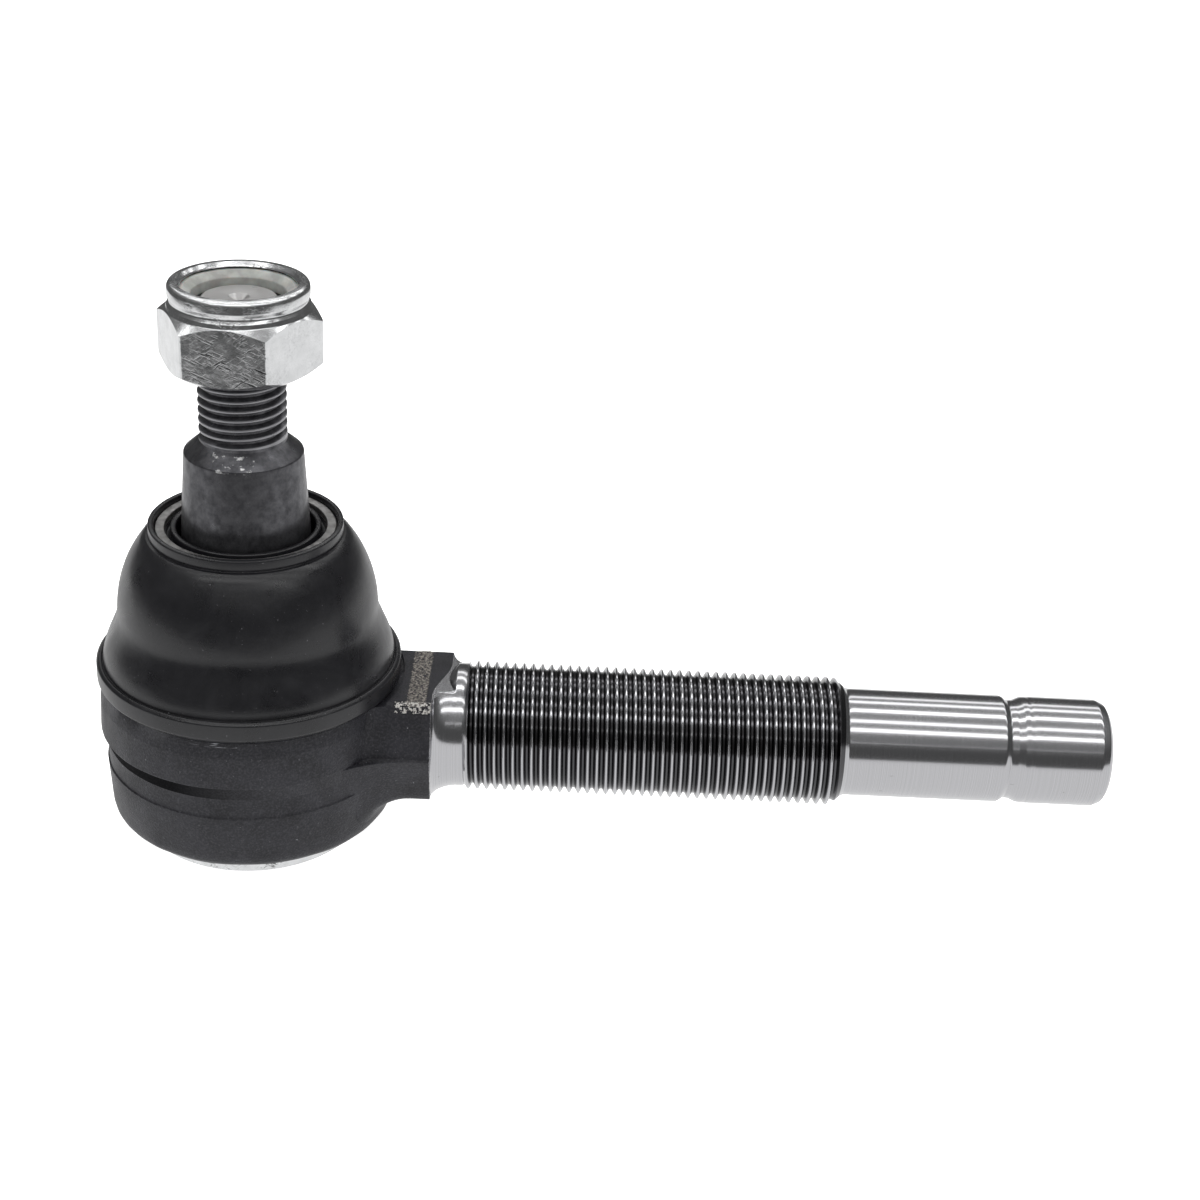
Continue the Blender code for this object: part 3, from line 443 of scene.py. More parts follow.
def zincPlate():
    # bright zinc plate on steel, handled in bulk: silver-white with scuffs and crossed scratches
    s = zincLook
    made, tree, shader = newMaterial("zincPlatedSteel", Metallic=1.0)
    place = node(tree, "TexCoord", {}, out="Object")
    cloud = node(tree, "TexNoise", {"Vector": place, "Scale": 1 / (s["cloud"] * mm), "Detail": 3.0,
                 "Roughness": 0.6}, out="Fac")
    shade = node(tree, "MapRange", {"Value": cloud, "From Min": 0.35, "From Max": 0.68})
    tone = node(tree, "Mix", {0: shade, 6: srgb(s["dark"]), 7: srgb(s["light"])}, out=2, data_type="RGBA")
    lines = 0.0
    for slope, width in s["scratches"]:
        turned = node(tree, "Mapping", {"Vector": place, "Rotation": (0, math.radians(slope), 0),
                      "Scale": (11, 1, 1)}, vector_type="TEXTURE")
        line = node(tree, "TexNoise", {"Vector": turned, "Scale": 1 / (width * mm), "Roughness": 0.6}, out="Fac")
        line = node(tree, "MapRange", {"Value": line, "From Min": 0.58, "From Max": 0.68})
        lines = node(tree, "Math", {0: line, 1: lines}, operation="MAXIMUM")
    handled = node(tree, "TexNoise", {"Vector": place, "Scale": 1 / (3.5 * mm)}, out="Fac")
    handled = node(tree, "MapRange", {"Value": handled, "From Min": 0.42, "From Max": 0.60})
    # one flat took most of the knocks
    facing = node(tree, "TexCoord", {}, out="Normal")
    facing = node(tree, "VectorMath", {0: facing, 1: (-0.07, -1, 0)}, out="Value", operation="DOT_PRODUCT")
    facing = node(tree, "MapRange", {"Value": facing, "From Min": 0.8, "From Max": 0.95, "To Min": s["elsewhere"]})
    worn = node(tree, "Math", {0: lines, 1: handled}, operation="MULTIPLY")
    worn = node(tree, "Math", {0: worn, 1: facing}, operation="MULTIPLY")
    tone = node(tree, "Mix", {0: worn, 6: tone, 7: srgb(s["scratch"])}, out=2, data_type="RGBA")
    tree.links.new(tone, shader.inputs["Base Color"])
    gloss = node(tree, "MapRange", {"Value": cloud, "From Min": 0.3, "From Max": 0.7, "To Min": 0.15, "To Max": 0.24})
    tree.links.new(gloss, shader.inputs["Roughness"])
    dents = node(tree, "TexNoise", {"Vector": place, "Scale": 1 / (1.4 * mm), "Detail": 2.0}, out="Fac")
    dents = node(tree, "Math", {0: dents, 1: facing}, operation="MULTIPLY")
    under = node(tree, "Bump", {"Height": dents, "Distance": 0.05 * mm})
    under = node(tree, "Bump", {"Height": worn, "Distance": 0.03 * mm, "Normal": under}, invert=True)
    tree.links.new(under, shader.inputs["Normal"])
    return made


# plain finishes: a noise between two tones, one roughness and a fine bump, sizes in mm
plainLooks = {
    # cold-rolled strip steel, oiled and dull: soft mid grey
    "washer": {"name": "coldRolledSteel", "dark": "#7a7978", "light": "#a09f9e", "lump": 1.2, "rough": 0.42,
               "metal": 0.9, "grain": 0.3, "bump": 0.01},
    # natural nylon 66: milky and slightly see-through at its edges
    "nylon": {"name": "naturalNylon", "dark": "#8c8d89", "light": "#a8a9a5", "lump": 1.8, "rough": 0.35,
              "metal": 0.0, "grain": 0.6, "bump": 0.01, "subsurface": 0.25},
    # machined acetal: opaque cream-white with a low gloss
    "acetal": {"name": "acetal", "dark": "#d9d6cb", "light": "#e8e5dc", "lump": 3.0, "rough": 0.42,
               "metal": 0.0, "grain": 0.3, "bump": 0.006},
    # drawn and oil-tempered spring wire: blue-grey
    "spring": {"name": "springWire", "dark": "#54565c", "light": "#7b7c80", "lump": 0.7, "rough": 0.32,
               "metal": 1.0, "grain": 0.2, "bump": 0.006},
}


def plainFinish(s):
    made, tree, shader = newMaterial(s["name"], Roughness=s["rough"], Metallic=s["metal"],
                                     Subsurface_Weight=s.get("subsurface", 0.0), Subsurface_Scale=mm)
    place = node(tree, "TexCoord", {}, out="Object")
    lumps = node(tree, "TexNoise", {"Vector": place, "Scale": 1 / (s["lump"] * mm), "Detail": 3.0}, out="Fac")
    shade = node(tree, "MapRange", {"Value": lumps, "From Min": 0.35, "From Max": 0.68})
    tone = node(tree, "Mix", {0: shade, 6: srgb(s["dark"]), 7: srgb(s["light"])}, out=2, data_type="RGBA")
    tree.links.new(tone, shader.inputs["Base Color"])
    grain = node(tree, "TexNoise", {"Vector": place, "Scale": 1 / (s["grain"] * mm)}, out="Fac")
    under = node(tree, "Bump", {"Height": grain, "Distance": s["bump"] * mm})
    tree.links.new(under, shader.inputs["Normal"])
    return made


rubberLook = {"light": "#18181b", "dark": "#0d0d10", "dust": "#58585b", "bloom": 7.0, "wave": 2.8, "grain": 0.22}


def mouldedRubber():
    # chloroprene rubber moulded in a polished tool: black, with a soft waxy sheen, mould bloom and dust
    s = rubberLook
    made, tree, shader = newMaterial("mouldedChloroprene")
    place = node(tree, "TexCoord", {}, out="Object")
    bloom = node(tree, "TexNoise", {"Vector": place, "Scale": 1 / (s["bloom"] * mm), "Detail": 4.0,
                 "Roughness": 0.65, "Distortion": 0.6}, out="Fac")
    shade = node(tree, "MapRange", {"Value": bloom, "From Min": 0.32, "From Max": 0.72})
    tone = node(tree, "Mix", {0: shade, 6: srgb(s["dark"]), 7: srgb(s["light"])}, out=2, data_type="RGBA")
    specks = node(tree, "TexNoise", {"Vector": place, "Scale": 1 / (0.42 * mm), "Roughness": 0.6}, out="Fac")
    dust = node(tree, "MapRange", {"Value": specks, "From Min": 0.72, "From Max": 0.78})
    tone = node(tree, "Mix", {0: dust, 6: tone, 7: srgb(s["dust"])}, out=2, data_type="RGBA")
    tree.links.new(tone, shader.inputs["Base Color"])
    gloss = node(tree, "MapRange", {"Value": bloom, "From Min": 0.3, "From Max": 0.75, "To Min": 0.24,
                 "To Max": 0.38})
    tree.links.new(gloss, shader.inputs["Roughness"])
    wave = node(tree, "TexNoise", {"Vector": place, "Scale": 1 / (s["wave"] * mm), "Detail": 3.0}, out="Fac")
    grain = node(tree, "TexNoise", {"Vector": place, "Scale": 1 / (s["grain"] * mm)}, out="Fac")
    drawn = node(tree, "Mapping", {"Vector": place, "Scale": (0.25, 0.25, 1)})
    folds = node(tree, "TexNoise", {"Vector": drawn, "Scale": 1 / (0.7 * mm), "Detail": 2.0}, out="Fac")
    under = node(tree, "Bump", {"Height": wave, "Distance": 0.03 * mm})
    under = node(tree, "Bump", {"Height": folds, "Distance": 0.008 * mm, "Normal": under})
    under = node(tree, "Bump", {"Height": grain, "Distance": 0.006 * mm, "Normal": under})
    tree.links.new(under, shader.inputs["Normal"])
    return made


finishes = {name: plainFinish(look) for name, look in plainLooks.items()}
finishes["stud"] = phosphatedSteel()
finishes["zinc"] = zincPlate()
finishes["rubber"] = mouldedRubber()
print("materials ready")


socket = {
    "dieShift": (-0.4, 0.3),      # the upper die half stands this far off the lower one
    "lowerRadius": 23.12, "ledgeRadius": 23.35, "footRadius": 22.7, "footRound": 2.6,
    "ledgeTop": -5.35, "ledgeBottom": -5.5, "headRadius": 23.05, "headLand": 5.4,
    "stepTop": 0.2, "stepBottom": -2.1,
    "collarRadius": 20.14, "collarTop": 13.49, "seatRadius": 24.84,
    "waviness": 0.09,             # how far the forged skin wanders
}
socket["foot"] = overBall(forgeLow.z)
socket["upperRadius"] = -forgeLow.x / mm + socket["dieShift"][0]
socket["top"] = overBall(bootLow.z) - 0.3


def socketShape():
    s = socket
    bm = spunShape(softened([
        (0, s["foot"], 0), (s["footRadius"], s["foot"], s["footRound"]),
        (s["ledgeRadius"], s["ledgeBottom"], 0.05), (s["lowerRadius"], s["ledgeTop"], 0.05),
        (s["lowerRadius"], s["stepBottom"], 0.4),
        (s["upperRadius"], s["stepTop"], 0.35), (s["upperRadius"] - 0.2, s["headLand"], 0.8),
        (s["headRadius"], s["top"], 0.4), (s["collarRadius"], s["top"], 0.3),
        (s["collarRadius"], s["collarTop"], 0.4), (0, s["collarTop"], 0)]), 160)
    middle = (s["stepBottom"] + s["stepTop"]) / 2
    upper = [v for v in bm.verts if middle < v.co.z < s["top"] - 0.2]
    bmesh.ops.translate(bm, vec=(*s["dieShift"], 0), verts=upper)
    roughened(bm, s["waviness"], 3.5, lambda p: math.hypot(p.x, p.y) > 21 and p.z < s["top"] - 0.3)
    return bm


bore = {
    "lipRadius": 18.5, "lipDepth": 1.4, "coverRadius": 20.0, "coverSeat": -9.9,
    "radius": 17.8, "roof": 6.99, "mouthRadius": 12.3, "mouthFlare": 2.0, "mouthTop": 14.5,
}


def boreShape():
    # under the rolled lip the cover's seat, then the bore, then the mouth that lets the stud lean
    b = bore
    foot, lip = socket["foot"], socket["foot"] + b["lipDepth"]
    return spunShape([
        (0, foot - 1), (b["lipRadius"], foot - 1), (b["lipRadius"], lip), (b["coverRadius"], lip),
        (b["coverRadius"], b["coverSeat"]), (b["radius"], b["coverSeat"]), (b["radius"], b["roof"]),
        (b["mouthRadius"], b["roof"]), (b["mouthRadius"] + b["mouthFlare"], b["mouthTop"]), (0, b["mouthTop"])], 96)


def bootSeatShape():
    s = socket
    return spunShape([(s["collarRadius"], s["top"]), (s["seatRadius"], s["top"]), (s["seatRadius"], s["collarTop"]),
                      (s["collarRadius"], s["collarTop"])], 120)


neck = {
    "halfWidth": 12.2, "partingLedge": 0.35, "flatHalfWidth": 9.8, "rearFlat": 8.6, "top": 8.75, "bottom": -9.2,
    "topCorner": 0.9, "bottomCorner": 2.0, "upperFillet": 1.2, "lowerFillet": 4.0, "undersideFillet": 3.2,
    "start": 19.0, "wall": 23.1, "end": 36.0, "pace": 0.35, "rootBend": 3.5,
    "blankStart": 10, "blankRadius": 30, "flareStart": 29.9, "flareLength": 4.5, "flareRise": 2.35,
    "landRadius": 10.05,
    "lean": 2.45, "leanFrom": -6.2, "leanTo": 4.2,      # the turned wall slants back over the neck's top
    "patch": (26.1, 29.1), "patchDepth": 0.12, "ridge": (24.2, 30.0), "ridgeDepth": 0.3,
}


def neckSection():
    # outline of the neck in (y, z), run round from the underside, with points no wider apart than the pace
    n = neck
    lower = n["halfWidth"] + n["partingLedge"]
    corners = [
        (n["flatHalfWidth"], n["bottom"], n["bottomCorner"]), (lower, -0.1, 0.1), (n["halfWidth"], 0.1, 0.1),
        (n["rearFlat"], n["top"], n["topCorner"]), (-n["flatHalfWidth"], n["top"], n["topCorner"]),
        (-n["halfWidth"], 0.1, 0.1), (-lower, -0.1, 0.1),
        (-n["flatHalfWidth"], n["bottom"], n["bottomCorner"])]
    points = softened(corners, steps=5)
    fine = []
    for first, second in zip(points, points[1:] + points[:1]):
        gap = Vector(second) - Vector(first)
        count = max(1, math.ceil(gap.length / n["pace"]))
        fine += [Vector(first) + gap * step / count for step in range(count)]
    return fine


def sweep(fillet, past):
    # how far a fillet still stands out, past mm from the wall it flows into
    return fillet - math.sqrt(fillet ** 2 - (fillet - past) ** 2) if past < fillet else 0.0


def neckShape():
    # rings of the section bridged from the socket's wall outward, wide at the root so that they flow into it
    n = neck
    bm = bmesh.new()
    reach = n["flareStart"] + 0.7 - n["wall"]
    stations = [n["start"], n["wall"] - 1.2, n["wall"] - 0.6]
    stations += [n["wall"] + step * n["pace"] for step in range(math.ceil(reach / n["pace"]))] + [33, n["end"]]
    section = neckSection()
    loops = []
    for x in stations:
        past = max(x - n["wall"], 0)
        bend = max(0.0, 1 - past / n["rootBend"])
        low = 1 - sweep(n["undersideFillet"], past) / n["bottom"]
        ring = []
        for y, z in section:
            wide = 1 + sweep(n["upperFillet"] if z > 0 else n["lowerFillet"], past) / n["halfWidth"]
            onWall = math.sqrt(x * x - (y * wide) ** 2)
            ring.append(bm.verts.new((x + (onWall - x) * bend, y * wide, z * (low if z < 0 else 1))))
        loops.append([bm.edges.new(pair) for pair in zip(ring, ring[1:] + ring[:1])])
    for near, far in zip(loops, loops[1:]):
        bmesh.ops.bridge_loops(bm, edges=near + far)
    for loop in (loops[0], loops[-1]):
        bmesh.ops.edgeloop_fill(bm, edges=loop)
    bmesh.ops.recalc_face_normals(bm, faces=bm.faces[:])
    start, end = n["patch"]
    near, far = n["ridge"]
    roughened(bm, n["patchDepth"], 0.6, lambda p: start < p.x < end and p.z > n["top"] - 0.1 and abs(p.y) < 9)
    roughened(bm, n["ridgeDepth"], 0.5, lambda p: near < p.x < far and p.z > 7.4 and -10.8 < p.y < -9)
    return bm


def flareShape():
    # what the lathe leaves: everything short of a square wall, then a fillet down to the plain land
    n = neck
    outline = [(0, n["blankStart"]), (n["blankRadius"], n["blankStart"]), (n["blankRadius"], n["flareStart"])]
    for step in range(11):
        angle = math.radians(9 * step)
        outline.append((n["landRadius"] - 0.03 + n["flareRise"] * (1 - math.sin(angle)),
                        n["flareStart"] + n["flareLength"] * (1 - math.cos(angle))))
    bm = laidAlongX(spunShape(outline + [(0, outline[-1][1])], 144))
    for vert in bm.verts:
        if vert.co.x > n["flareStart"] - 0.01:
            share = min(max((vert.co.y - n["leanFrom"]) / (n["leanTo"] - n["leanFrom"]), 0), 1)
            lift = min(max((vert.co.z - 2) / 3, 0), 1)
            lean = n["lean"] * share * share * (3 - 2 * share) * lift
            vert.co.x += lean * (1 - (vert.co.x - n["flareStart"]) / n["flareLength"])
    return bm


shank = {
    "pitch": 1.5, "crest": 10.5, "root": 9.58, "steps": 72,
    "bottom": 33.6, "top": 97.6,
    "floor": [(34.9, 10.05), (36.6, 9.0), (95.2, 9.0), (96.9, 8.75)],
    "ceiling": [(34.9, 10.05), (35.7, 10.5), (95.0, 10.5), (97.0, 8.75)],
    "lead": 32.5, "coreStart": 24.0, "coreRadius": 8.6,      # inside the neck, so that the two join
    "pilot": 8.75, "grooveStart": 122.4, "grooveEnd": 126.85, "grooveRadius": 8.05,
}
shank["end"] = forgeHigh.x / mm


def shankShape():
    # thread first, then the pilot, the crimp groove and the tip on one end, and the lead-in on the other
    s = shank
    bm = threadShape(s)
    pilot, groove, near, far, end = s["pilot"], s["grooveRadius"], s["grooveStart"], s["grooveEnd"], s["end"]
    growEnd(bm, s["top"], softened([
        (pilot, s["top"], 0), (pilot, near, 0.8), (groove, near + 0.95, 0.5), (groove + 0.05, near + 2.0, 0.8),
        (pilot - 0.12, near + 3.2, 0.9), (pilot - 0.04, far - 0.5, 0.3), (pilot - 0.09, far, 0.12),
        (pilot, far + 0.25, 0.12), (pilot, end - 1.9, 0.9), (pilot - 0.55, end - 0.6, 0.7),
        (pilot - 1.5, end, 0.5), (0, end, 0)], closed=False)[1:])
    core, start = s["coreRadius"], s["coreStart"]
    growEnd(bm, s["bottom"], [(10.02, s["lead"] + 1.0), (core, s["lead"] - 0.4), (core, start), (0, start)])
    return laidAlongX(bm)


def buildForging():
    forging = toObject("forged_housing", socketShape())
    block = toObject("neckBlock", neckShape())
    combined(block, toObject("flare", flareShape()), "INTERSECT")
    combined(forging, block, "UNION")
    combined(forging, toObject("bootSeat", bootSeatShape()), "DIFFERENCE")
    combined(forging, toObject("bar", shankShape()), "UNION")
    combined(forging, toObject("bore", boreShape()), "DIFFERENCE")
    finished(forging, "socket", finishes["forging"], "housing", smoothAngle=35)


finishes["forging"] = paintedForging()
buildForging()


stud = {
    "pitch": 1.5, "crest": 6.8, "root": 5.92, "steps": 72,
    "bottom": 49.1, "top": 70.2,
    "floor": [(49.6, 6.75), (50.9, 5.0), (70.0, 5.0), (70.2, 6.4)],
    "ceiling": [(49.2, 6.75), (69.6, 6.8), (70.2, 6.4)],
    "neckRadius": 7.5, "shoulder": 47.0, "shoulderRadius": 9.2, "taper": 1 / 16, "taperStart": 26.0,
    "swell": 6.5, "centreMark": 1.6,
}
stud["end"] = overBall(studHigh.z)
stud["ball"] = -studLow.x / mm


def studShape():
    s = stud
    bm = threadShape(s)
    end, ball = s["end"], s["ball"]
    growEnd(bm, s["top"], softened([
        (6.4, s["top"], 0), (6.3, end - 0.9, 0.2), (5.5, end, 0.4), (s["centreMark"], end, 0.15),
        (0.25, end - 1.15, 0.1), (0, end - 1.2, 0)], closed=False)[1:])
    big = s["shoulderRadius"] + (s["shoulder"] - s["taperStart"]) * s["taper"]
    side = softened([
        (6.75, s["bottom"], 0), (7.2, s["bottom"] - 0.35, 0.2), (s["shoulderRadius"], s["shoulder"], 0.45),
        (big, s["taperStart"], 1.2), (s["neckRadius"], s["taperStart"] - s["swell"], 4.0),
        (s["neckRadius"], 11.5, 0)], closed=False)
    join = math.degrees(math.acos(s["neckRadius"] / ball))
    growEnd(bm, s["bottom"], side[1:] + arcPoints(ball, join, -90, 40))
    return bm


finished(toObject("tapered_ball_stud", studShape()), "stud", finishes["stud"], "ball_stud")


boot = {
    "flangeDrop": 3.6, "crease": 1.1, "creaseDepth": 0.25, "waistDrop": 2.6, "waistRise": 8.0,
    "wall": 1.9, "rimSide": 1.9, "rimDepth": 3.6, "lipInner": 10.66, "lipWidth": 1.1, "grooveDepth": 1.6,
    "washerWidth": 1.5, "washerGap": 0.12, "rim": 15.16, "collarGap": 0.3, "bandRadius": 22.4,
}
boot["base"] = overBall(bootLow.z)
boot["top"] = overBall(bootHigh.z)
boot["flange"] = bootHigh.x / mm
boot["flangeTop"] = boot["base"] + boot["flangeDrop"]


def curvePoints(points, steps):
    # points along a Bezier curve through its control points, its first point left out
    made = []
    for step in range(1, steps + 1):
        layer = [Vector(point) for point in points]
        while len(layer) > 1:
            layer = [first.lerp(second, step / steps) for first, second in zip(layer, layer[1:])]
        made.append((*layer[0], 0))
    return made


def domeSide(inside):
    # side of the dome from its foot to the rim, moved in by a wall
    b = boot
    foot = b["flange"] - b["crease"] - inside
    waist = foot - b["waistDrop"]
    waistZ = b["flangeTop"] + b["waistRise"]
    crown = b["top"] - b["rimSide"] - inside / 2
    lower = [(foot, b["flangeTop"]), (foot, b["flangeTop"] + 2.8), (waist + 0.4, waistZ - 2.4), (waist, waistZ)]
    upper = [(waist, waistZ), (waist - 0.3, waistZ + (crown - waistZ) * 0.62), (b["rim"] + 0.5 - inside, crown)]
    return [(foot, b["flangeTop"], 0)] + curvePoints(lower, 10) + curvePoints(upper, 18)


def bootShape():
    b = boot
    base, top, flange, flangeTop, rim = b["base"], b["top"], b["flange"], b["flangeTop"], b["rim"]
    side = domeSide(0)
    foot = side[0][0]
    washerOuter = washerHigh.x / mm
    washerInner = washerOuter - b["washerWidth"]
    washerTop = overBall(washerHigh.z)
    washerFloor = overBall(washerLow.z) - b["washerGap"]
    lip = b["lipInner"]
    rimFoot = top - b["rimSide"]
    outline = [(flange - 0.5, base, 0.3), (flange, base + 0.7, 0.4), (flange, flangeTop - 0.45, 0.35),
               (flange - 0.45, flangeTop, 0.25), (foot + 0.3, flangeTop - 0.05, 0.15),
               (foot + 0.12, flangeTop - b["creaseDepth"], 0.1)]
    outline += side[:-1]
    outline += [(rim + 0.42, rimFoot - 0.12, 0.25), (rim - 0.12, rimFoot - 0.05, 0.18), (rim, rimFoot + 0.4, 0.25),
                (rim, top - 0.1, 0.3), (washerOuter + 0.3, top, 0.3),
                (washerOuter + b["washerGap"], washerTop - 0.1, 0.2), (washerOuter + b["washerGap"], washerFloor, 0),
                (washerInner - b["washerGap"], washerFloor, 0),
                (washerInner - 0.35, washerTop - b["grooveDepth"], 0.2),
                (lip + b["lipWidth"], washerTop - b["grooveDepth"] + 0.3, 0.2),
                (lip + b["lipWidth"] - 0.1, washerTop + 0.15, 0.35), (lip + 0.1, washerTop + 0.1, 0.4),
                (lip, top - b["rimDepth"], 0.4), (rim - b["wall"], top - b["rimDepth"], 0.5)]
    outline += list(reversed(domeSide(b["wall"])[:-1]))
    collar = socket["collarRadius"] + b["collarGap"]
    outline += [(collar, socket["collarTop"] + b["collarGap"], 0), (collar, base, 0), (b["bandRadius"], base, 0)]
    bm = spunShape(softened(outline, steps=3), 144)
    roughened(bm, 0.10, 9.0, lambda p: flangeTop + 1 < p.z < top - 3)
    return bm


rubberBoot = finished(toObject("moulded_boot", bootShape()), None, finishes["rubber"], "dust_boot")
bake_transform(rubberBoot)


def washerShape():
    low, high = overBall(washerLow.z), overBall(washerHigh.z)
    outer = washerHigh.x / mm
    inner = outer - boot["washerWidth"]
    return spunShape(softened([(inner, low, 0), (outer, low, 0), (outer, high, 0.25), (inner, high, 0.25)]), 144)


finished(toObject("rim_washer", washerShape()), "boot_rim", finishes["washer"], "boot_rim_washer")


nut = {
    "turn": 26.0, "flatRadius": 11.0, "hexTop": 69.9, "bore": 7.1, "edgeRound": 0.35,
    "bottomChamfer": 1.9, "topChamfer": 1.5, "faceRadius": 10.1, "collarRadius": 10.72, "mouthRadius": 8.35,
    "ringPocket": 9.4, "beadRound": 1.2,
}
nut["bottom"] = overBall(nutLow.z)
nut["top"] = overBall(nutHigh.z)
nut["cornerRadius"] = nut["flatRadius"] / math.cos(math.radians(30))


def hexShape():
    n = nut
    bm = bmesh.new()
    bmesh.ops.create_cone(bm, cap_ends=True, segments=6, radius1=n["cornerRadius"], radius2=n["cornerRadius"],
                          depth=n["top"] - n["bottom"])
    upright = [edge for edge in bm.edges if abs(edge.verts[0].co.z - edge.verts[1].co.z) > 1]
    bmesh.ops.bevel(bm, geom=upright, offset=n["edgeRound"], segments=4, profile=0.5, affect="EDGES", material=-1)
    bmesh.ops.translate(bm, vec=(0, 0, (n["top"] + n["bottom"]) / 2), verts=bm.verts[:])
    bmesh.ops.rotate(bm, verts=bm.verts[:], cent=(0, 0, 0), matrix=Matrix.Rotation(math.radians(n["turn"]), 3, "Z"))
    return bm


def nutEnvelope():
    n = nut
    wide = n["cornerRadius"] + 0.3
    bottom, top, hexTop, collar = n["bottom"], n["top"], n["hexTop"], n["collarRadius"]
    return spunShape(softened([
        (0, bottom, 0), (n["faceRadius"], bottom, 0.25), (wide, bottom + n["bottomChamfer"], 0.5),
        (wide, hexTop - n["topChamfer"], 0.4), (collar + 0.12, hexTop + 0.25, 0.35),
        (collar - 0.05, hexTop + 0.9, 0.4), (collar - 0.45, hexTop + 1.5, 0.5), (collar - 0.1, hexTop + 2.3, 0.5),
        (collar - 0.15, top, n["beadRound"]), (n["mouthRadius"], top + 0.05, 0), (0, top + 0.05, 0)], steps=5), 144)


def nutOpening():
    n = nut
    bottom, top, mouth = n["bottom"], n["top"], n["mouthRadius"]
    nylonBottom, nylonTop = overBall(nylonLow.z), overBall(nylonHigh.z)
    return spunShape(softened([
        (0, bottom - 1, 0), (n["bore"] + 1.7, bottom - 1, 0), (n["bore"], bottom + 0.7, 0.2),
        (n["bore"], nylonBottom - 0.3, 0), (n["ringPocket"], nylonBottom - 0.3, 0),
        (n["ringPocket"], nylonTop + 0.15, 0.3), (mouth + 0.15, nylonTop + 0.25, 0.1),
        (mouth + 0.35, top - 0.45, 0.3), (mouth + 1.1, top + 0.35, 0), (0, top + 0.35, 0)]), 120)


def buildNut():
    made = toObject("zinc_lock_nut", hexShape())
    combined(made, toObject("envelope", nutEnvelope()), "INTERSECT")
    combined(made, toObject("opening", nutOpening()), "DIFFERENCE")
    finished(made, "nut", finishes["zinc"], "lock_nut", smoothAngle=28)


buildNut()


def nylonShape():
    low, high = overBall(nylonLow.z), overBall(nylonHigh.z)
    outer, inner = nylonHigh.x / mm, nut["bore"]
    return spunShape(softened([(inner, low, 0.2), (outer, low, 0.2), (outer, high, 0.3), (inner + 1.1, high, 0.3),
                               (inner, high - 0.9, 0.4)]), 120)


finished(toObject("nylon_ring", nylonShape()), "nut_ring", finishes["nylon"], "nylon_insert")


cover = {"round": 1.0, "wall": 1.8, "rimWidth": 1.5, "rimHeight": 1.5, "bead": (14.2, 15.0)}


def coverShape():
    c = cover
    low, top, rim = overBall(coverLow.z), overBall(coverHigh.z), coverHigh.x / mm
    outer = rim - c["rimWidth"]
    start, end = c["bead"]
    return spunShape(softened([
        (0, low, 0), (start, low, 0.6), ((start + end) / 2, low + 0.12, 0.5), (end, low, 0.5),
        (outer, low, c["round"]), (outer, top - c["rimHeight"], 0.4), (rim, top - c["rimHeight"], 0.3),
        (rim, top, 0.3), (outer - c["wall"], top, 0.4), (outer - c["wall"], low + c["wall"], 0.5),
        (0, low + c["wall"], 0)]), 144)


finished(toObject("pressed_cover", coverShape()), "socket", finishes["zinc"], "cover_plate")

hiddenPieces = {"upper_ball_seat": "acetal", "lower_ball_seat": "acetal", "preload_spring": "spring",
                "cover_seal_ring": "rubber", "boot_base_band": "washer"}
for nodeName, finish in hiddenPieces.items():
    part = frame["nodes"][nodeName]
    part.data.materials.clear()
    part.data.materials.append(finishes[finish])
print("hidden pieces finished")


studio = {
    "around": 0.85, "mirrored": (0.10, 0.40),
    "floorSize": 6.0, "tableLow": (-0.32, -0.165), "tableHigh": (0.40, 0.30), "tableGlow": 1.0,
    "lampHeight": 0.62, "lampLength": 1.3, "aimX": 0.12,
    # elevation of each lamp seen from the part, over the front and on over the back, its width and strength
    "lamps": [(30, 2.2, 1.1), (56, 6.5, 3.4), (76, 5.5, 3.0), (102, 7.0, 3.6), (126, 6.0, 2.7), (143, 6.0, 2.2)],
}


def plane(name, low, high, z, material):
    bm = bmesh.new()
    bm.faces.new([bm.verts.new((x, y, z)) for x, y in ((low[0], low[1]), (high[0], low[1]), high, (low[0], high[1]))])
    mesh = bpy.data.meshes.new(name)
    bm.to_mesh(mesh)
    bm.free()
    mesh.materials.append(material)
    made = bpy.data.objects.new(name, mesh)
    bpy.context.scene.collection.objects.link(made)
    return made


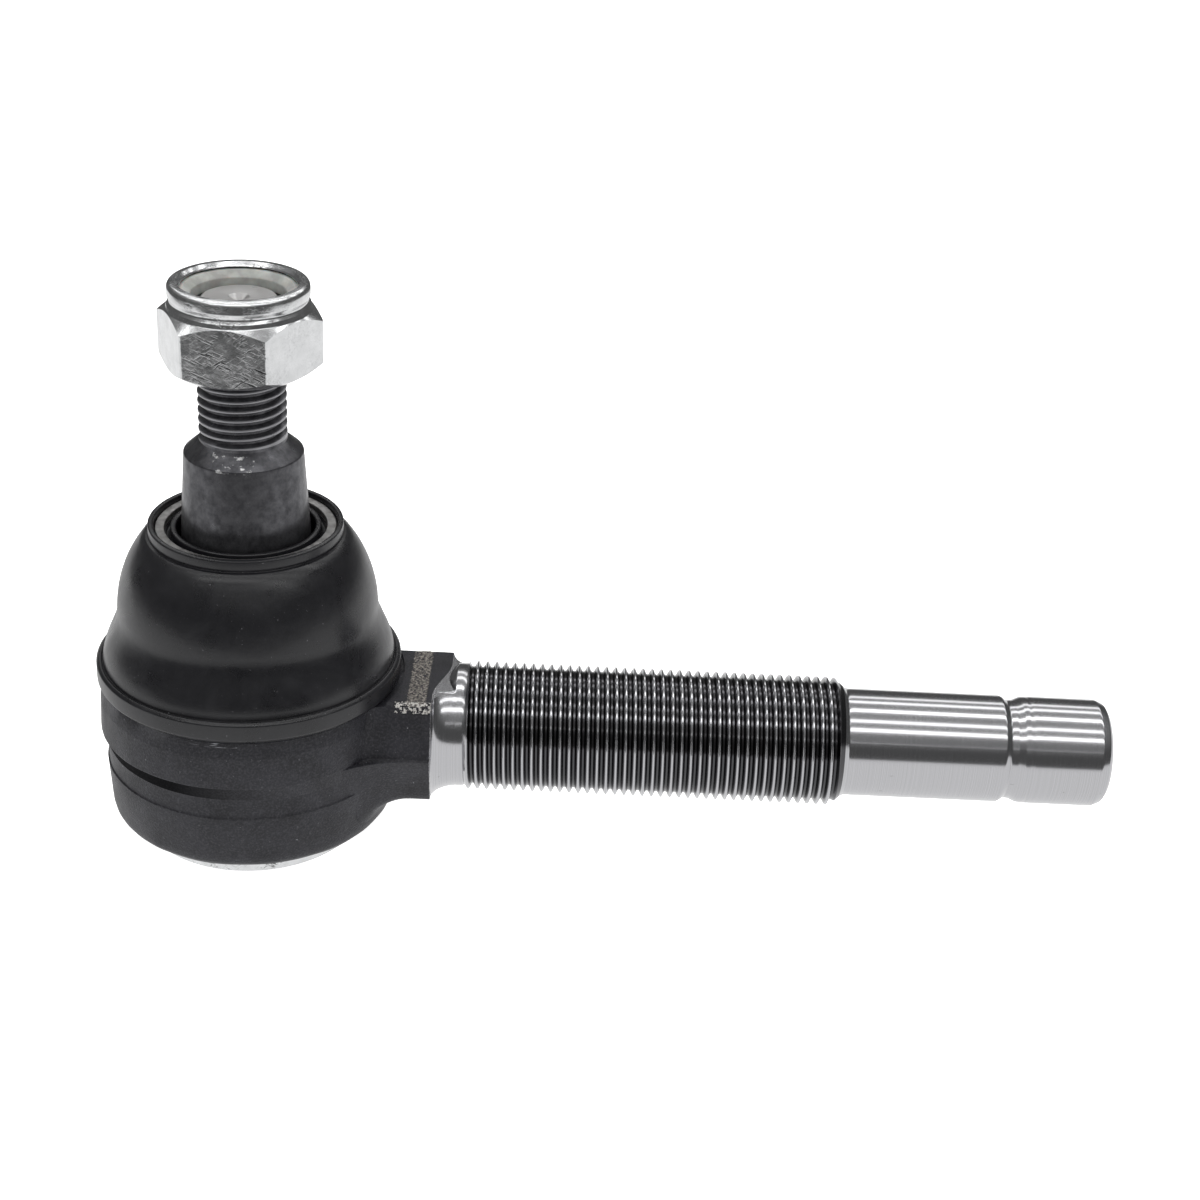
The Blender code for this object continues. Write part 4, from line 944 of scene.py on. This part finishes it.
def buildStudio():
    s = studio
    half = s["floorSize"] / 2
    pale = newMaterial("paleFloor", Base_Color=srgb("#f4f4f4"), Roughness=0.6, Emission_Color=(1, 1, 1, 1),
                       Emission_Strength=0.8)[0]
    floor = plane("floor", (-half, -half), (half, half), 0, pale)
    floor.visible_glossy = False
    # what the bright metal mirrors of the white table it lies on
    glow = bpy.data.materials.new("tableGlow")
    glow.use_nodes = True
    glow.node_tree.nodes.clear()
    light = node(glow.node_tree, "Emission", {"Strength": s["tableGlow"]})
    node(glow.node_tree, "OutputMaterial", {"Surface": light})
    table = plane("tableTop", s["tableLow"], s["tableHigh"], 0.0001, glow)
    table.visible_camera = False
    table.visible_diffuse = False
    table.visible_shadow = False
    for elevation, width, strength in s["lamps"]:
        angle = math.radians(elevation)
        distance = s["lampHeight"] / math.sin(angle)
        lamp = bpy.data.lights.new("strip" + str(elevation), "AREA")
        lamp.shape = "RECTANGLE"
        lamp.size = s["lampLength"]
        lamp.size_y = 2 * distance * math.tan(math.radians(width / 2))
        lamp.energy = strength * math.pi * lamp.size * lamp.size_y
        made = bpy.data.objects.new(lamp.name, lamp)
        bpy.context.scene.collection.objects.link(made)
        made.location = (s["aimX"], -distance * math.cos(angle), ballZ + s["lampHeight"])
        aim = Vector((s["aimX"], 0, ballZ)) - made.location
        made.rotation_euler = aim.to_track_quat("-Z", "Y").to_euler()


def buildWorld():
    # even white light for the matt surfaces; what the metal mirrors is dark near the horizon and grey above
    world = bpy.data.worlds.new("softStudio")
    bpy.context.scene.world = world
    world.use_nodes = True
    tree = world.node_tree
    low, high = studio["mirrored"]
    around = node(tree, "Background", {"Color": (1, 1, 1, 1), "Strength": studio["around"]})
    place = node(tree, "TexCoord", {}, out="Generated")
    height = node(tree, "SeparateXYZ", {"Vector": place}, out="Z")
    level = node(tree, "MapRange", {"Value": height, "From Min": 0.3, "From Max": 0.85, "To Min": low,
                 "To Max": high})
    mirrored = node(tree, "Background", {"Color": (1, 1, 1, 1), "Strength": level})
    glossy = node(tree, "LightPath", {}, out="Is Glossy Ray")
    mixed = node(tree, "MixShader", {0: glossy, 1: around, 2: mirrored})
    tree.links.new(mixed, tree.nodes["World Output"].inputs["Surface"])


view = {"place": (51.6, -297.3, 174.3), "down": 26.83, "right": 0.83, "roll": 3.03, "lens": 62.85}


def buildCamera():
    data = bpy.data.cameras.new("camera")
    data.lens = view["lens"]
    data.sensor_width = 36
    data.clip_start = 0.01
    made = bpy.data.objects.new("camera", data)
    bpy.context.scene.collection.objects.link(made)
    turn = Matrix.Rotation(math.radians(-view["right"]), 4, "Z")
    turn = turn @ Matrix.Rotation(math.radians(90 - view["down"]), 4, "X")
    turn = turn @ Matrix.Rotation(math.radians(view["roll"]), 4, "Z")
    place = Vector(view["place"]) * mm + Vector((0, 0, ballZ))
    made.matrix_world = Matrix.Translation(place) @ turn
    bpy.context.scene.camera = made


buildStudio()
buildWorld()
buildCamera()
bpy.context.scene.view_settings.view_transform = "Standard"
print("studio ready")
